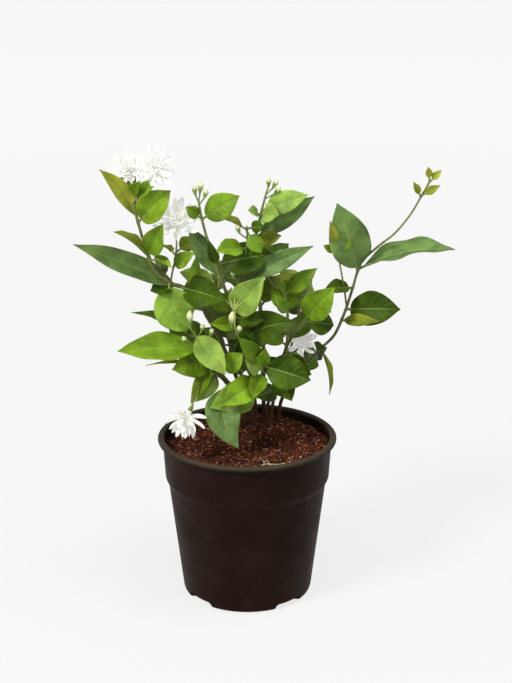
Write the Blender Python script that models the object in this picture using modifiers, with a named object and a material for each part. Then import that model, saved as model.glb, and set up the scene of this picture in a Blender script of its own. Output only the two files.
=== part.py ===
# A potted Arabian jasmine: leafy stems with double white blooms in a black nursery pot.
# Metres, +Z up. The origin is the middle of the pot's flat floor, and -Y is the front.

import math
from collections import namedtuple

import bmesh
import bpy
from mathutils import Matrix, Vector
from mathutils.bvhtree import BVHTree

MM = 0.001

# Pot, in millimetres
RIM_RADIUS = 65.0
RIM_HEIGHT = 121.0
BAND_RADIUS = 61.3
BAND_FOOT = 90.0
BAND_TAPER = 1.6
STEP_IN = 2.2
STEP_HEIGHT = 4.0
BASE_RADIUS = 47.0
WALL = 1.4
LIP_HEIGHT = 4.5
LIP_INSIDE = ((0.0, 1.0), (1.0, 0.0))  # out from the inner wall, down from the top
LIP_OUTSIDE = ((1.0, 0.1), (0.0, 1.4), (0.2, 3.0), (1.3, 4.1))  # in from the edge, down from the top
CURVE_TOP = 3.2
FOOT_CURVE = ((0.5, 1.1), (2.6, 0.0))  # in from the base radius, and the height
FLOOR_EDGE = 2.5
SLOT_SIZE = (14.0, 25.0, 5.8)
SLOT_ROUND = 5.0
SLOT_ANGLES = (41.0, 131.0, 221.0, 311.0)
DRAIN_RADIUS = 4.0
DRAIN_CIRCLE = 22.0
DRAIN_SIDES = 16
POT_STEPS = 36

# Soil, in millimetres
SOIL_EDGE_HEIGHT = 113.5
SOIL_MOUND = 3.0
MOUND_AT = (8.0, 34.0)
MOUND_REACH = 30.0
SOIL_WAVES = ((0.5, 0.31, 0.27), (0.35, 0.53, -0.47))  # height, and waves along x and y
SOIL_FOOT = (3.5, 3.2)  # height, and in from the pot's wall
GAP = 0.3
SOIL_SECTORS = 26
SOIL_RINGS = 4

# Where each stem enters the soil, and how deep its foot goes
ENTRY_HEIGHT = 119.0
FOOT_HEIGHT = 104.0
HOLE_GAP = 0.4
HOLE_SPARE = 1.0
HOLE_SIDES = 10

# Leaves and petals, in millimetres
BLADE = 0.75
PETIOLE = 4.0
PETIOLE_WIDTH = 1.5
PETIOLE_THICK = 1.3
STATIONS = ((18.0, (0.14, 0.42, 0.76, 1.0)), (0.0, (0.22, 0.66, 1.0)))
WIDEST = 0.86
TIP_HALF = 0.5
CLEARANCE = 0.5
SHORT_EDGE = 0.35
FLIP_LIMIT = 0.5
NO_AREA = 1e-12

# Which way the upper side of a leaf looks
UP = (0.0, -0.2, 1.0)
UP_FRONT = (0.0, -0.7, 0.7)
FRONT = (0.0, -1.0, 0.45)
LEFT = (-1.0, -0.5, 0.5)
RIGHT = (1.0, -0.5, 0.5)
BACK = (0.0, 1.0, 0.5)
BACK_LEFT = (-0.7, 0.7, 0.6)
BACK_RIGHT = (0.7, 0.7, 0.6)

# A cane is a woody or green shoot through points in millimetres, thick at its start.
# A leaf grows from its cane at a height and ends at a tip; fold is how far its halves
# are raised, arch how far its middle bulges to the upper side, bow sideways, both as a
# share of its length. A bud stands on a stalk from its cane, and a bloom in its calyx
# at the end of a cane.
Cane = namedtuple("Cane", "thick thin points")
Leaf = namedtuple("Leaf", "cane height tip width face fold arch bow", defaults=(UP, 0.25, 0.08, 0.0))
Bud = namedtuple("Bud", "cane height foot tip width", defaults=(3.4,))
Bloom = namedtuple("Bloom", "stem cane toward size turn")

STEMS = {
    # The far left shoot with two blooms at its top, and the twig of the third bloom.
    "stem_left": (
        [
            Cane(1.6, 0.8, [(0, 36, 119), (-6, 27, 150), (-22, 14, 194), (-38, 7, 225), (-54, 2, 235),
                            (-64, -2, 244), (-69, -4, 257), (-72, -6, 268), (-75, -8, 281), (-78, -9, 294),
                            (-79, -2, 301), (-78, 7, 308)]),
            Cane(0.7, 0.6, [(-54, 2, 235), (-52, 0, 245), (-50, -2, 254), (-49, -2, 264), (-49, 0, 275)]),
            Cane(0.7, 0.6, [(-78, -9, 294), (-72, -12, 303), (-64, -13, 315)]),
        ],
        [
            Leaf(0, 282, (-100, -16, 320), 12, FRONT, 0.25, 0.0, 0.08),
            Leaf(0, 294, (-89, -2, 311), 12, FRONT, 0.3),
            Leaf(0, 297, (-60, -18, 314), 9, FRONT, 0.3),
            Leaf(0, 299, (-72, -20, 313), 8, FRONT, 0.4),
            Leaf(0, 281, (-52, -14, 302), 21, FRONT, 0.45),
            Leaf(0, 254, (-92, -10, 275), 14, UP, 0.4),
            Leaf(0, 256, (-57, -14, 284), 16, FRONT, 0.35),
            Leaf(0, 253, (-52, -20, 252), 8, UP, 0.6),
            Leaf(0, 231, (-120, -10, 266), 19, UP_FRONT, 0.3, 0.02),
            Leaf(0, 238, (-66, 16, 252), 14, BACK),
            Leaf(0, 236, (-42, -5, 201), 29, FRONT, 0.2, 0.08, 0.08),
            Leaf(0, 232, (-68, -2, 230), 14, UP_FRONT, 0.3),
            Leaf(0, 231, (-15, -12, 226), 22, FRONT, 0.3, 0.12),
            Leaf(0, 224, (-35, -5, 257), 10, FRONT, 0.4),
            Leaf(1, 256, (-61, 8, 261), 10, BACK_LEFT),
            Leaf(1, 258, (-37, 8, 265), 12, FRONT),
            Leaf(1, 247, (-36, -16, 262), 11, FRONT, 0.3),
        ],
        [],
    ),
    # The middle shoot forks into two budding tops.
    "stem_centre": (
        [
            Cane(1.6, 0.7, [(6, 29, 119), (5, 22, 145), (-2, 8, 184), (-10, 0, 215), (-19, -4, 242),
                            (-23, -6, 257), (-27, -8, 268), (-30, -10, 280), (-32, -12, 291), (-33, -13, 298)]),
            Cane(0.9, 0.6, [(-10, 0, 215), (-5, -4, 238), (0, -8, 265), (0, -10, 279)]),
        ],
        [
            Leaf(0, 284, (-5, -17, 302), 19, FRONT, 0.2),
            Leaf(0, 284, (-44, -14, 294), 9, FRONT),
            Leaf(0, 240, (-41, -2, 277), 15, FRONT, 0.3),
            Leaf(0, 250, (-27, -20, 271), 8, FRONT, 0.4),
            Leaf(0, 250, (18, -5, 258), 23, FRONT, 0.2),
            Leaf(0, 212, (12, -25, 247), 22, FRONT, 0.25),
            Leaf(0, 213, (-29, -12, 231), 13, FRONT),
            Leaf(0, 203, (-26, -19, 211), 11, FRONT),
            Leaf(0, 209, (12, -13, 212), 14, FRONT),
            Leaf(0, 188, (34, -22, 213), 25, FRONT, 0.25, 0.1, -0.08),
            Leaf(0, 180, (-3, -22, 209), 14, FRONT, 0.3),
            Leaf(0, 190, (-34, 22, 214), 22, BACK_LEFT),
            Leaf(0, 160, (-16, 28, 186), 20, BACK_LEFT),
            Leaf(1, 262, (-21, -22, 264), 15, UP_FRONT, 0.3),
            Leaf(1, 276, (-20, -10, 285), 10, UP, 0.4),
            Leaf(1, 275, (10, -18, 262), 12, FRONT),
            Leaf(1, 277, (12, -14, 280), 9, FRONT, 0.4),
            Leaf(1, 238, (46, -11, 265), 15, FRONT, 0.25, 0.05),
        ],
        [Bud(0, 296, (-35, -14, 302), (-36, -15, 309)), Bud(0, 297, (-32, -13, 303), (-31, -13, 311)),
         Bud(0, 295, (-29, -14, 300), (-27, -15, 306)), Bud(1, 270, (-5, -14, 275), (-7, -15, 281)),
         Bud(1, 240, (-9, -9, 241), (-10, -10, 247)), Bud(0, 196, (-11, -20, 208), (-10, -22, 221), 5.0),
         Bud(0, 194, (-6, -20, 204), (-5, -23, 211), 3.6)],
    ),
    # The tallest middle shoot, with a spray of buds.
    "stem_tall": (
        [
            Cane(1.7, 0.7, [(13, 38, 119), (12, 34, 140), (12, 21, 180), (9, 9, 220), (5, 4, 258),
                            (8, 1, 276), (11, -3, 291), (14, -5, 303)]),
        ],
        [
            Leaf(0, 288, (42, -10, 301), 16, FRONT, 0.25),
            Leaf(0, 284, (1, -9, 290), 9, UP_FRONT),
            Leaf(0, 285, (22, -19, 289), 15, FRONT),
            Leaf(0, 268, (47, 2, 297), 16, FRONT, 0.2, 0.04),
            Leaf(0, 264, (24, -13, 265), 11, FRONT),
            Leaf(0, 240, (-12, 30, 258), 20, BACK_LEFT),
            Leaf(0, 238, (30, 30, 256), 20, BACK_RIGHT),
            Leaf(0, 216, (-18, 38, 232), 22, BACK_LEFT),
            Leaf(0, 214, (34, 36, 232), 20, BACK_RIGHT),
            Leaf(0, 186, (-10, 8, 206), 18, FRONT),
            Leaf(0, 158, (28, 8, 176), 16, FRONT),
        ],
        [Bud(0, 301, (15, -6, 306), (15, -7, 312)), Bud(0, 300, (18, -6, 305), (21, -7, 311)),
         Bud(0, 297, (19, -7, 301), (23, -8, 306))],
    ),
    # The long right shoot ends in a thin young twig.
    "stem_right": (
        [
            Cane(1.4, 0.6, [(24, 43, 119), (26, 38, 134), (32, 32, 147), (39, 24, 158), (45, 21, 169),
                            (53, 18, 180), (63, 14, 192), (70, 9, 211), (75, 5, 230), (78, 2, 243),
                            (82, 1, 252), (93, -1, 263), (103, -3, 272), (113, -4, 285), (120, -5, 298),
                            (126, -6, 310)]),
            Cane(0.7, 0.6, [(71, 8, 216), (69, 2, 229), (66, -3, 245), (63, -5, 260)]),
        ],
        [
            Leaf(0, 243, (62, -10, 295), 29, FRONT, 0.2),
            Leaf(0, 245, (144, -14, 263), 30, UP, 0.25, 0.08),
            Leaf(0, 213, (108, -8, 218), 25, FRONT, 0.2),
            Leaf(0, 204, (93, -14, 211), 9, FRONT, 0.3),
            Leaf(0, 230, (54, -8, 232), 12, UP_FRONT, 0.4),
            Leaf(0, 177, (57, 0, 187), 14, FRONT),
            Leaf(0, 181, (60, 12, 147), 7, RIGHT, 0.5),
            Leaf(0, 160, (48, 54, 172), 18, BACK_RIGHT),
            Leaf(0, 298, (114, -11, 310), 5, FRONT),
            Leaf(0, 299, (132, -13, 308), 6, FRONT),
            Leaf(0, 309, (124, -9, 320), 5, FRONT),
            Leaf(0, 308, (133, -9, 318), 5, FRONT),
            Leaf(1, 258, (53, -10, 265), 6, FRONT),
            Leaf(1, 260, (57, -16, 284), 7, FRONT),
            Leaf(1, 259, (73, -9, 268), 6, FRONT),
        ],
        [],
    ),
    # A shorter shoot fills the middle right.
    "stem_right_low": (
        [
            Cane(1.4, 0.8, [(18, 30, 119), (20, 24, 142), (25, 14, 170), (29, 8, 190), (29, 4, 210),
                            (27, 2, 227)]),
            Cane(0.9, 0.7, [(26, 11, 178), (34, 6, 196), (42, 3, 208)]),
        ],
        [
            Leaf(0, 226, (49, -7, 248), 13, FRONT),
            Leaf(0, 210, (27, 10, 235), 22, FRONT, 0.2),
            Leaf(0, 211, (19, -13, 231), 9, FRONT),
            Leaf(0, 226, (12, 22, 246), 16, BACK_LEFT),
            Leaf(1, 207, (61, -14, 236), 21, FRONT, 0.3),
            Leaf(1, 206, (62, 6, 202), 18, FRONT),
            Leaf(0, 186, (2, -12, 206), 14, FRONT),
            Leaf(0, 170, (46, -10, 168), 20, FRONT, 0.25),
            Leaf(0, 158, (32, -12, 151), 19, FRONT),
            Leaf(0, 188, (52, 36, 200), 18, BACK_RIGHT),
            Leaf(0, 146, (4, 0, 150), 15, FRONT),
        ],
        [],
    ),
    # The low front shoot leans left, with the leaf that hangs over the soil.
    "stem_front": (
        [
            Cane(1.3, 0.8, [(4, 21, 119), (3, 15, 132), (-3, 6, 147), (-11, -4, 160), (-18, -10, 171),
                            (-19, -11, 174)]),
            Cane(0.9, 0.6, [(2, 13, 136), (6, 5, 150), (10, -2, 166), (12, -6, 178)]),
        ],
        [
            Leaf(0, 172, (-3, -15, 188), 15, FRONT),
            Leaf(0, 160, (-6, -38, 125), 25, FRONT, 0.15, 0.16, 0.17),
            Leaf(1, 152, (-26, -28, 152), 24, FRONT),
            Leaf(1, 163, (-18, -35, 156), 20, FRONT),
            Leaf(1, 171, (-1, -17, 184), 14, FRONT),
            Leaf(1, 176, (-6, -12, 202), 13, FRONT),
            Leaf(1, 173, (13, -18, 193), 10, FRONT),
            Leaf(1, 170, (4, -26, 158), 13, FRONT, 0.4),
            Leaf(1, 175, (45, -16, 168), 25, FRONT, 0.25, 0.08),
        ],
        [],
    ),
    # The low left shoot, with the bloom that droops over the rim.
    "stem_low_left": (
        [
            Cane(1.4, 0.8, [(-5, 27, 119), (-9, 20, 142), (-21, 7, 167), (-30, 0, 184), (-36, -3, 195),
                            (-38, -4, 201)]),
            Cane(0.7, 0.6, [(-22, 6, 168), (-29, -4, 168), (-36, -18, 162), (-39, -29, 153)]),
        ],
        [
            Leaf(0, 187, (-91, -16, 190), 23, UP_FRONT, 0.3, 0.04),
            Leaf(0, 176, (-53, -15, 176), 20, FRONT),
            Leaf(0, 174, (-40, -20, 153), 11, FRONT),
            Leaf(0, 165, (-40, -16, 151), 15, FRONT),
            Leaf(0, 195, (-83, 18, 208), 12, UP, 0.4),
            Leaf(0, 169, (-73, 8, 171), 5, UP, 0.3),
            Leaf(0, 199, (-15, -26, 176), 19, FRONT, 0.5, 0.04),
            Leaf(0, 182, (-56, 36, 196), 22, BACK_LEFT),
            Leaf(0, 158, (-46, 34, 164), 20, BACK_LEFT),
        ],
        [Bud(0, 195, (-40, -11, 206), (-40, -13, 219), 5.0), Bud(0, 195, (-32, -11, 203), (-31, -13, 209)),
         Bud(0, 190, (-26, -12, 200), (-24, -14, 206)), Bud(0, 193, (-43, -10, 194), (-45, -13, 200))],
    ),
    # Two shoots at the back, as full as the front.
    "stem_back_left": (
        [
            Cane(1.4, 0.7, [(3, 46, 119), (-2, 47, 142), (-12, 50, 170), (-20, 52, 196), (-24, 54, 214)]),
        ],
        [
            Leaf(0, 212, (-50, 62, 226), 20, BACK_LEFT),
            Leaf(0, 213, (-8, 76, 232), 20, BACK),
            Leaf(0, 194, (-54, 66, 196), 25, BACK_LEFT),
            Leaf(0, 192, (-14, 88, 204), 24, BACK),
            Leaf(0, 172, (-46, 44, 176), 24, LEFT),
            Leaf(0, 168, (8, 74, 186), 26, BACK),
            Leaf(0, 150, (-36, 60, 150), 26, BACK_LEFT),
            Leaf(0, 148, (2, 80, 150), 20, BACK),
        ],
        [Bud(0, 212, (-26, 56, 222), (-26, 57, 229)), Bud(0, 210, (-21, 57, 219), (-20, 59, 225))],
    ),
    "stem_back_right": (
        [
            Cane(1.4, 0.7, [(15, 50, 119), (20, 51, 138), (31, 54, 164), (38, 55, 188), (40, 56, 206)]),
            Cane(0.7, 0.6, [(29, 53, 158), (33, 45, 165), (35, 37, 172)]),
        ],
        [
            Leaf(0, 204, (48, 78, 222), 20, BACK_RIGHT),
            Leaf(0, 205, (24, 76, 224), 20, BACK),
            Leaf(0, 188, (64, 76, 190), 23, BACK_RIGHT),
            Leaf(0, 192, (44, 92, 204), 22, BACK),
            Leaf(0, 176, (10, 56, 190), 16, BACK_LEFT),
            Leaf(0, 156, (42, 84, 152), 20, BACK_RIGHT),
            Leaf(0, 146, (20, 82, 146), 20, BACK),
        ],
        [],
    ),
}

BLOOMS = {
    "bloom_far_left": Bloom("stem_left", 0, (-0.25, -0.6, 0.75), 15.0, 10),
    "bloom_top_left": Bloom("stem_left", 2, (0.15, -0.75, 0.65), 17.0, 30),
    "bloom_left": Bloom("stem_left", 1, (0.05, -0.75, 0.66), 17.5, 0),
    "bloom_low": Bloom("stem_low_left", 1, (-0.35, -0.75, -0.55), 17.0, 20),
    "bloom_back": Bloom("stem_back_right", 1, (0.4, -0.4, 0.8), 15.0, 15),
}

# Layers of a double bloom: petals, length and width as a share of its size, and the
# angle between a petal and the bloom's axis
PETAL_LAYERS = ((8, 1.0, 0.38, 78.0), (6, 0.85, 0.38, 50.0), (3, 0.62, 0.38, 24.0))
PETAL_SHAPE = ((0.0, 0.16), (0.55, 1.0), (1.0, 0.3))  # place along it, and width there
PETAL_THICK = 1.0
PETAL_ARCH = 0.4
PETAL_STEP = 1.4
PETAL_SWAY = 0.08
PETAL_LEAN = 6.0
TUBE_LENGTH = 10.0
TUBE_RADIUS = 1.1
HEART_RADIUS = 2.6
HEART_LENGTH = 4.5

# The calyx: a cup with slim teeth, whose roots are sunk in its side
CALYX_LENGTH = 3.0
CALYX_RADIUS = 1.6
CALYX_CUP = ((0.0, 0.4), (0.6, 0.9), (1.0, 1.0))  # place along it, and radius there
CUP_FOOT = 0.8
CALYX_TEETH = 5
TOOTH_LENGTH = 5.5
TOOTH_ROOT = (1.2, 0.5)  # down from the cup's top, in from its side
TOOTH_LEAN = (0.8, 0.45)  # forward and outward, as shares of its length
TOOTH_RADII = (0.6, 0.35)

# A closed bud: the radii of its stalk and its neck, and places along it
BUD_STALK = (0.65, 0.6)
BUD_NECK = (0.25, 1.2)
BUD_BELLY = 0.65
BUD_POINT = 0.25


def cleared_scene():
    for obj in list(bpy.data.objects):
        bpy.data.objects.remove(obj)


def new_collection(name, hidden=False):
    made = bpy.data.collections.new(name)
    bpy.context.scene.collection.children.link(made)
    made.hide_render = hidden
    return made


def material(name, colour, roughness, metallic=0.0):
    made = bpy.data.materials.new(name)
    made.use_nodes = True
    shader = made.node_tree.nodes["Principled BSDF"]
    shader.inputs["Base Color"].default_value = (*colour, 1.0)
    shader.inputs["Roughness"].default_value = roughness
    shader.inputs["Metallic"].default_value = metallic
    return made


def object_of(bm, name, collection):
    """A new object that holds this bmesh, with its faces turned outwards."""
    bmesh.ops.recalc_face_normals(bm, faces=bm.faces)
    mesh = bpy.data.meshes.new(name)
    bm.to_mesh(mesh)
    bm.free()
    obj = bpy.data.objects.new(name, mesh)
    collection.objects.link(obj)
    return obj


def applied(obj):
    """Bakes the object's modifiers into its mesh."""
    graph = bpy.context.evaluated_depsgraph_get()
    mesh = bpy.data.meshes.new_from_object(obj.evaluated_get(graph))
    obj.modifiers.clear()
    obj.data = mesh


def cut(obj, cutters):
    """Cuts the collection of cutters out of the object."""
    modifier = obj.modifiers.new("cut", "BOOLEAN")
    modifier.operation = "DIFFERENCE"
    modifier.operand_type = "COLLECTION"
    modifier.collection = cutters
    modifier.solver = "EXACT"


def hide_cutter(obj):
    obj.hide_render = True
    obj.display_type = "WIRE"


# Smooth routes and lofted blades

def vectors(points):
    return [Vector(p) for p in points]


def smooth_route(points, start_tangent=None, parts=1):
    """Points along a smooth curve through the given ones."""
    out = []
    count = len(points)
    for i in range(count - 1):
        p0, p1 = points[i], points[i + 1]
        before = points[i - 1] if i else p0
        after = points[i + 2] if i + 2 < count else p1
        m0 = (p1 - before) / 2 if i or start_tangent is None else start_tangent * (p1 - p0).length
        m1 = (after - p0) / 2
        for k in range(parts):
            t = k / parts
            out.append(
                p0 * (2 * t**3 - 3 * t**2 + 1)
                + m0 * (t**3 - 2 * t**2 + t)
                + p1 * (3 * t**2 - 2 * t**3)
                + m1 * (t**3 - t**2)
            )
    out.append(points[-1])
    return out


def cane_route(cane):
    """The cane's curve; one that starts at the soil stands straight in its hole first."""
    points = vectors(cane.points)
    if points[0].z != ENTRY_HEIGHT:
        return smooth_route(points)
    foot = Vector((points[0].x, points[0].y, FOOT_HEIGHT))
    return [foot] + smooth_route(points, Vector((0, 0, 1)))


def at_height(route, height):
    """The first point of a rising route at this height."""
    for low, high in zip(route, route[1:]):
        if low.z <= height <= high.z:
            return low.lerp(high, (height - low.z) / max(high.z - low.z, 1e-6))
    return route[-1]


def bezier(a, b, c, t):
    return a * (1 - t) ** 2 + b * (2 * t * (1 - t)) + c * t**2


def blade_share(u, broad):
    """Half the blade's width, from 0 to 1, at this share of its length. It ends in a point."""
    blunt = min(max(1.1 - 0.7 * broad, 0.65), 0.9)
    return math.sin(math.pi * u**WIDEST) ** (blunt + (1 - blunt) * u**2)


def leaf_rings(base, tip, leaf, grow=0.0):
    """Six-sided sections of the leaf from its stalk inside the cane to its tip."""
    chord = tip - base
    face = Vector(leaf.face)
    side = chord.cross(face).normalized()
    normal = side.cross(chord).normalized()
    middle = (base + tip) / 2 + (normal * leaf.arch + side * leaf.bow) * chord.length * 2
    start = PETIOLE / chord.length
    stations = next(places for wide, places in STATIONS if leaf.width >= wide)
    rings = []
    for u in (None, 0.0) + stations:
        t = 0.0 if u is None else start + (1 - start) * u
        point = bezier(base, middle, tip, t)
        ahead, behind = (bezier(base, middle, tip, near) for near in (min(t + 0.01, 1), t - 0.01))
        along = (ahead - behind).normalized()
        across = along.cross(normal).normalized()
        up = across.cross(along)
        if not u:
            half, thick, lift = PETIOLE_WIDTH / 2, PETIOLE_THICK / 2, 0.0
        else:
            half = max(leaf.width / 2 * blade_share(u, leaf.width / chord.length), TIP_HALF)
            thick, lift = BLADE / 2, half * leaf.fold
        half += grow
        thick += grow
        rings.append([
            point - across * half + up * (lift + thick), point + up * thick,
            point + across * half + up * (lift + thick), point + across * half + up * (lift - thick),
            point - up * thick, point - across * half + up * (lift - thick),
        ])
    return rings


FOLDED_CAP = ((0, 1, 4), (0, 4, 5), (1, 2, 3), (1, 3, 4))  # of a six-sided section, folded or round


def loft(bm, rings):
    """Joins sections by triangles whose diagonals match on both sides of a blade."""
    count = len(rings[0])
    verts = [[bm.verts.new(p * MM) for p in ring] for ring in rings]
    for near, far in zip(verts, verts[1:]):
        for i in range(count):
            j = (i + 1) % count
            if i % (count // 2) == 0:
                bm.faces.new((near[i], near[j], far[j]))
                bm.faces.new((near[i], far[j], far[i]))
            else:
                bm.faces.new((near[i], near[j], far[i]))
                bm.faces.new((near[j], far[j], far[i]))
    cap = FOLDED_CAP if count == 6 else [(0, i, i + 1) for i in range(1, count - 1)]
    for a, b, c in cap:
        bm.faces.new((verts[-1][a], verts[-1][b], verts[-1][c]))
        bm.faces.new((verts[0][c], verts[0][b], verts[0][a]))


def ring_tree(rings):
    """A collision tree of lofted sections, without their caps."""
    count = len(rings[0])
    points = [p for ring in rings for p in ring]
    faces = []
    for s in range(len(rings) - 1):
        for i in range(count):
            j = (i + 1) % count
            a, b = s * count + i, s * count + j
            faces += [(a, b, b + count), (a, b + count, a + count)]
    return BVHTree.FromPolygons(points, faces)


def round_rings(points, radii, sides):
    """Round sections of these radii along a route."""
    rings = []
    for i, point in enumerate(points):
        along = (points[min(i + 1, len(points) - 1)] - points[max(i - 1, 0)]).normalized()
        across = across - along * across.dot(along) if rings else along.orthogonal()
        across.normalize()
        up = across.cross(along)
        turns = (2 * math.pi * k / sides for k in range(sides))
        rings.append([point + (across * math.cos(a) + up * math.sin(a)) * radii[i] for a in turns])
    return rings


def mesh_tree(obj):
    points = [obj.matrix_world @ v.co / MM for v in obj.data.vertices]
    return BVHTree.FromPolygons(points, [tuple(p.vertices) for p in obj.data.polygons])


# Pot and soil

def wall_outside():
    """The pot's outer side from under the lip to the ground, as radius and height."""
    band_foot = BAND_RADIUS - BAND_TAPER
    slope = (band_foot - STEP_IN - BASE_RADIUS) / (BAND_FOOT - STEP_HEIGHT)
    return [
        (BAND_RADIUS, RIM_HEIGHT - LIP_HEIGHT),
        (band_foot, BAND_FOOT),
        (band_foot - STEP_IN, BAND_FOOT - STEP_HEIGHT),
        (BASE_RADIUS + slope * CURVE_TOP, CURVE_TOP),
    ] + [(BASE_RADIUS - inward, z) for inward, z in FOOT_CURVE]


def inner_radius(z):
    """The radius of the pot's inner wall at a height."""
    outside = wall_outside()
    for (r_high, high), (r_low, low) in zip(outside, outside[1:]):
        if low <= z <= high:
            return r_low + (r_high - r_low) * (z - low) / (high - low) - WALL
    return BAND_RADIUS - WALL


def make_pot(collection, cutters):
    """The moulded pot, turned from its profile, with its slots and drain holes cut."""
    lip = [(BAND_RADIUS - WALL + out, RIM_HEIGHT - down) for out, down in LIP_INSIDE]
    lip += [(RIM_RADIUS - inward, RIM_HEIGHT - down) for inward, down in LIP_OUTSIDE]
    inside = [(r - WALL, z) for r, z in wall_outside()[1:4]]
    floor = [(0.0, 0.0), (0.0, WALL), (inner_radius(CURVE_TOP) - FLOOR_EDGE, WALL)]
    profile = lip + wall_outside() + floor + inside[::-1]
    bm = bmesh.new()
    verts = [bm.verts.new((r * MM, 0, z * MM)) for r, z in profile]
    for a, b in zip(verts, verts[1:] + verts[:1]):
        if a.co.x or b.co.x:
            bm.edges.new((a, b))
    mesh = bpy.data.meshes.new("pot")
    bm.to_mesh(mesh)
    bm.free()
    pot = bpy.data.objects.new("pot", mesh)
    collection.objects.link(pot)
    screw = pot.modifiers.new("turn", "SCREW")
    screw.steps = screw.render_steps = POT_STEPS
    screw.use_merge_vertices = True
    screw.merge_threshold = 0.05 * MM
    screw.use_smooth_shade = True
    for angle in SLOT_ANGLES:
        turn = Matrix.Rotation(math.radians(angle), 4, "Z")
        bm = bmesh.new()
        bmesh.ops.create_cube(bm, size=1.0)
        obj = object_of(bm, "slot", cutters)
        deep, wide, high = SLOT_SIZE
        obj.data.transform(Matrix.Diagonal((deep * MM, wide * MM, 2 * high * MM, 1)))
        obj.data.transform(Matrix.Translation((BASE_RADIUS * MM, 0, 0)))
        obj.matrix_world = turn
        bevel = obj.modifiers.new("round", "BEVEL")
        bevel.width = SLOT_ROUND * MM
        bevel.segments = 3
        hide_cutter(obj)
        drain = bmesh.new()
        bmesh.ops.create_cone(drain, cap_ends=True, segments=DRAIN_SIDES, radius1=DRAIN_RADIUS * MM,
                              radius2=DRAIN_RADIUS * MM, depth=4 * WALL * MM)
        hole = object_of(drain, "drain", cutters)
        hole.matrix_world = turn @ Matrix.Translation((DRAIN_CIRCLE * MM, 0, 0))
        hide_cutter(hole)
    cut(pot, cutters)
    pot.data.materials.append(material("black_plastic", (0.016, 0.014, 0.013), 0.42))
    return pot


def soil_height(x, y):
    """The crumbly top of the soil, with a mound round the stems."""
    away = math.hypot(x - MOUND_AT[0], y - MOUND_AT[1])
    mound = SOIL_MOUND * math.exp(-((away / MOUND_REACH) ** 2))
    crumbs = (high * math.sin(along_x * x + along_y * y) for high, along_x, along_y in SOIL_WAVES)
    return SOIL_EDGE_HEIGHT + mound + sum(crumbs)


def make_soil(collection, cutters, entries):
    """A filling inside the pot's wall, with a plain hole for each stem."""
    low, inward = SOIL_FOOT
    levels = [WALL + GAP, low, BAND_FOOT - STEP_HEIGHT, BAND_FOOT]
    radii = [inner_radius(low) - inward] + [inner_radius(z) - GAP for z in levels[1:]]
    edge = inner_radius(SOIL_EDGE_HEIGHT) - GAP
    # The stations of the pot's turned wall are flat, so the filling stays inside them.
    flat = math.cos(math.pi / SOIL_SECTORS)
    turns = [2 * math.pi * k / SOIL_SECTORS for k in range(SOIL_SECTORS)]

    def ring(radius, height):
        spots = [(radius * flat * math.cos(a), radius * flat * math.sin(a)) for a in turns]
        return [Vector((x, y, soil_height(x, y) if height is None else height)) for x, y in spots]

    rings = [ring(r, z) for r, z in zip(radii, levels)] + [ring(edge, None)]
    rings += [ring(edge * (SOIL_RINGS - k) / SOIL_RINGS, None) for k in range(1, SOIL_RINGS)]
    bm = bmesh.new()
    verts = [[bm.verts.new(p * MM) for p in points] for points in rings]
    for low, high in zip(verts, verts[1:]):
        for i in range(SOIL_SECTORS):
            j = (i + 1) % SOIL_SECTORS
            bm.faces.new((low[i], low[j], high[j]))
            bm.faces.new((low[i], high[j], high[i]))
    top = bm.verts.new((0, 0, soil_height(0, 0) * MM))
    for i in range(SOIL_SECTORS):
        bm.faces.new((verts[-1][i], verts[-1][(i + 1) % SOIL_SECTORS], top))
    bm.faces.new(verts[0][::-1])
    soil = object_of(bm, "soil", collection)
    for (x, y), radius in entries:
        bm = bmesh.new()
        wide = (radius + HOLE_GAP) * MM
        depth = 2 * (ENTRY_HEIGHT - FOOT_HEIGHT + HOLE_SPARE)
        bmesh.ops.create_cone(
            bm, cap_ends=True, segments=HOLE_SIDES, radius1=wide, radius2=wide, depth=depth * MM)
        hole = object_of(bm, "stem_hole", cutters)
        hole.location = (x * MM, y * MM, (FOOT_HEIGHT - HOLE_SPARE + depth / 2) * MM)
        hide_cutter(hole)
    cut(soil, cutters)
    soil.data.materials.append(material("potting_soil", (0.052, 0.021, 0.013), 0.95))
    return soil


# Plant pieces: each gives the sections of its loft

def cane_rings(cane):
    route = cane_route(cane)
    last = len(route) - 1
    radii = [(cane.thick + (cane.thin - cane.thick) * i / last) for i in range(last + 1)]
    return round_rings(route, radii, 5)


def tooth_rings(foot, toward, turn):
    """One slim tooth of a calyx, which leans out from its axis."""
    across = toward.orthogonal().normalized()
    out = Matrix.Rotation(turn, 3, toward) @ across
    root = foot + toward * (CALYX_LENGTH - TOOTH_ROOT[0]) + out * (CALYX_RADIUS - TOOTH_ROOT[1])
    end = root + (toward * TOOTH_LEAN[0] + out * TOOTH_LEAN[1]) * TOOTH_LENGTH
    return round_rings([root, end], TOOTH_RADII, 3)


def calyx_rings(foot, toward):
    """The cup and the slim teeth round it."""
    top = foot + toward * CALYX_LENGTH
    low = foot - toward * CALYX_LENGTH * CUP_FOOT
    places = [low.lerp(top, place) for place, _ in CALYX_CUP]
    pieces = [round_rings(places, [CALYX_RADIUS * wide for _, wide in CALYX_CUP], 5)]
    for k in range(CALYX_TEETH):
        pieces.append(tooth_rings(foot, toward, 2 * math.pi * (k + 0.5) / CALYX_TEETH))
    return pieces


def bud_rings(bud, routes):
    """A stalk that widens to the calyx, and the closed bud that stands in it."""
    foot, tip = Vector(bud.foot), Vector(bud.tip)
    start = at_height(routes[bud.cane], bud.height)
    places = [start, foot, foot.lerp(tip, BUD_NECK[0]), foot.lerp(tip, BUD_BELLY), tip]
    belly = bud.width / 2
    return round_rings(places, [*BUD_STALK, BUD_NECK[1], belly, belly * BUD_POINT], 5)


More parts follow.
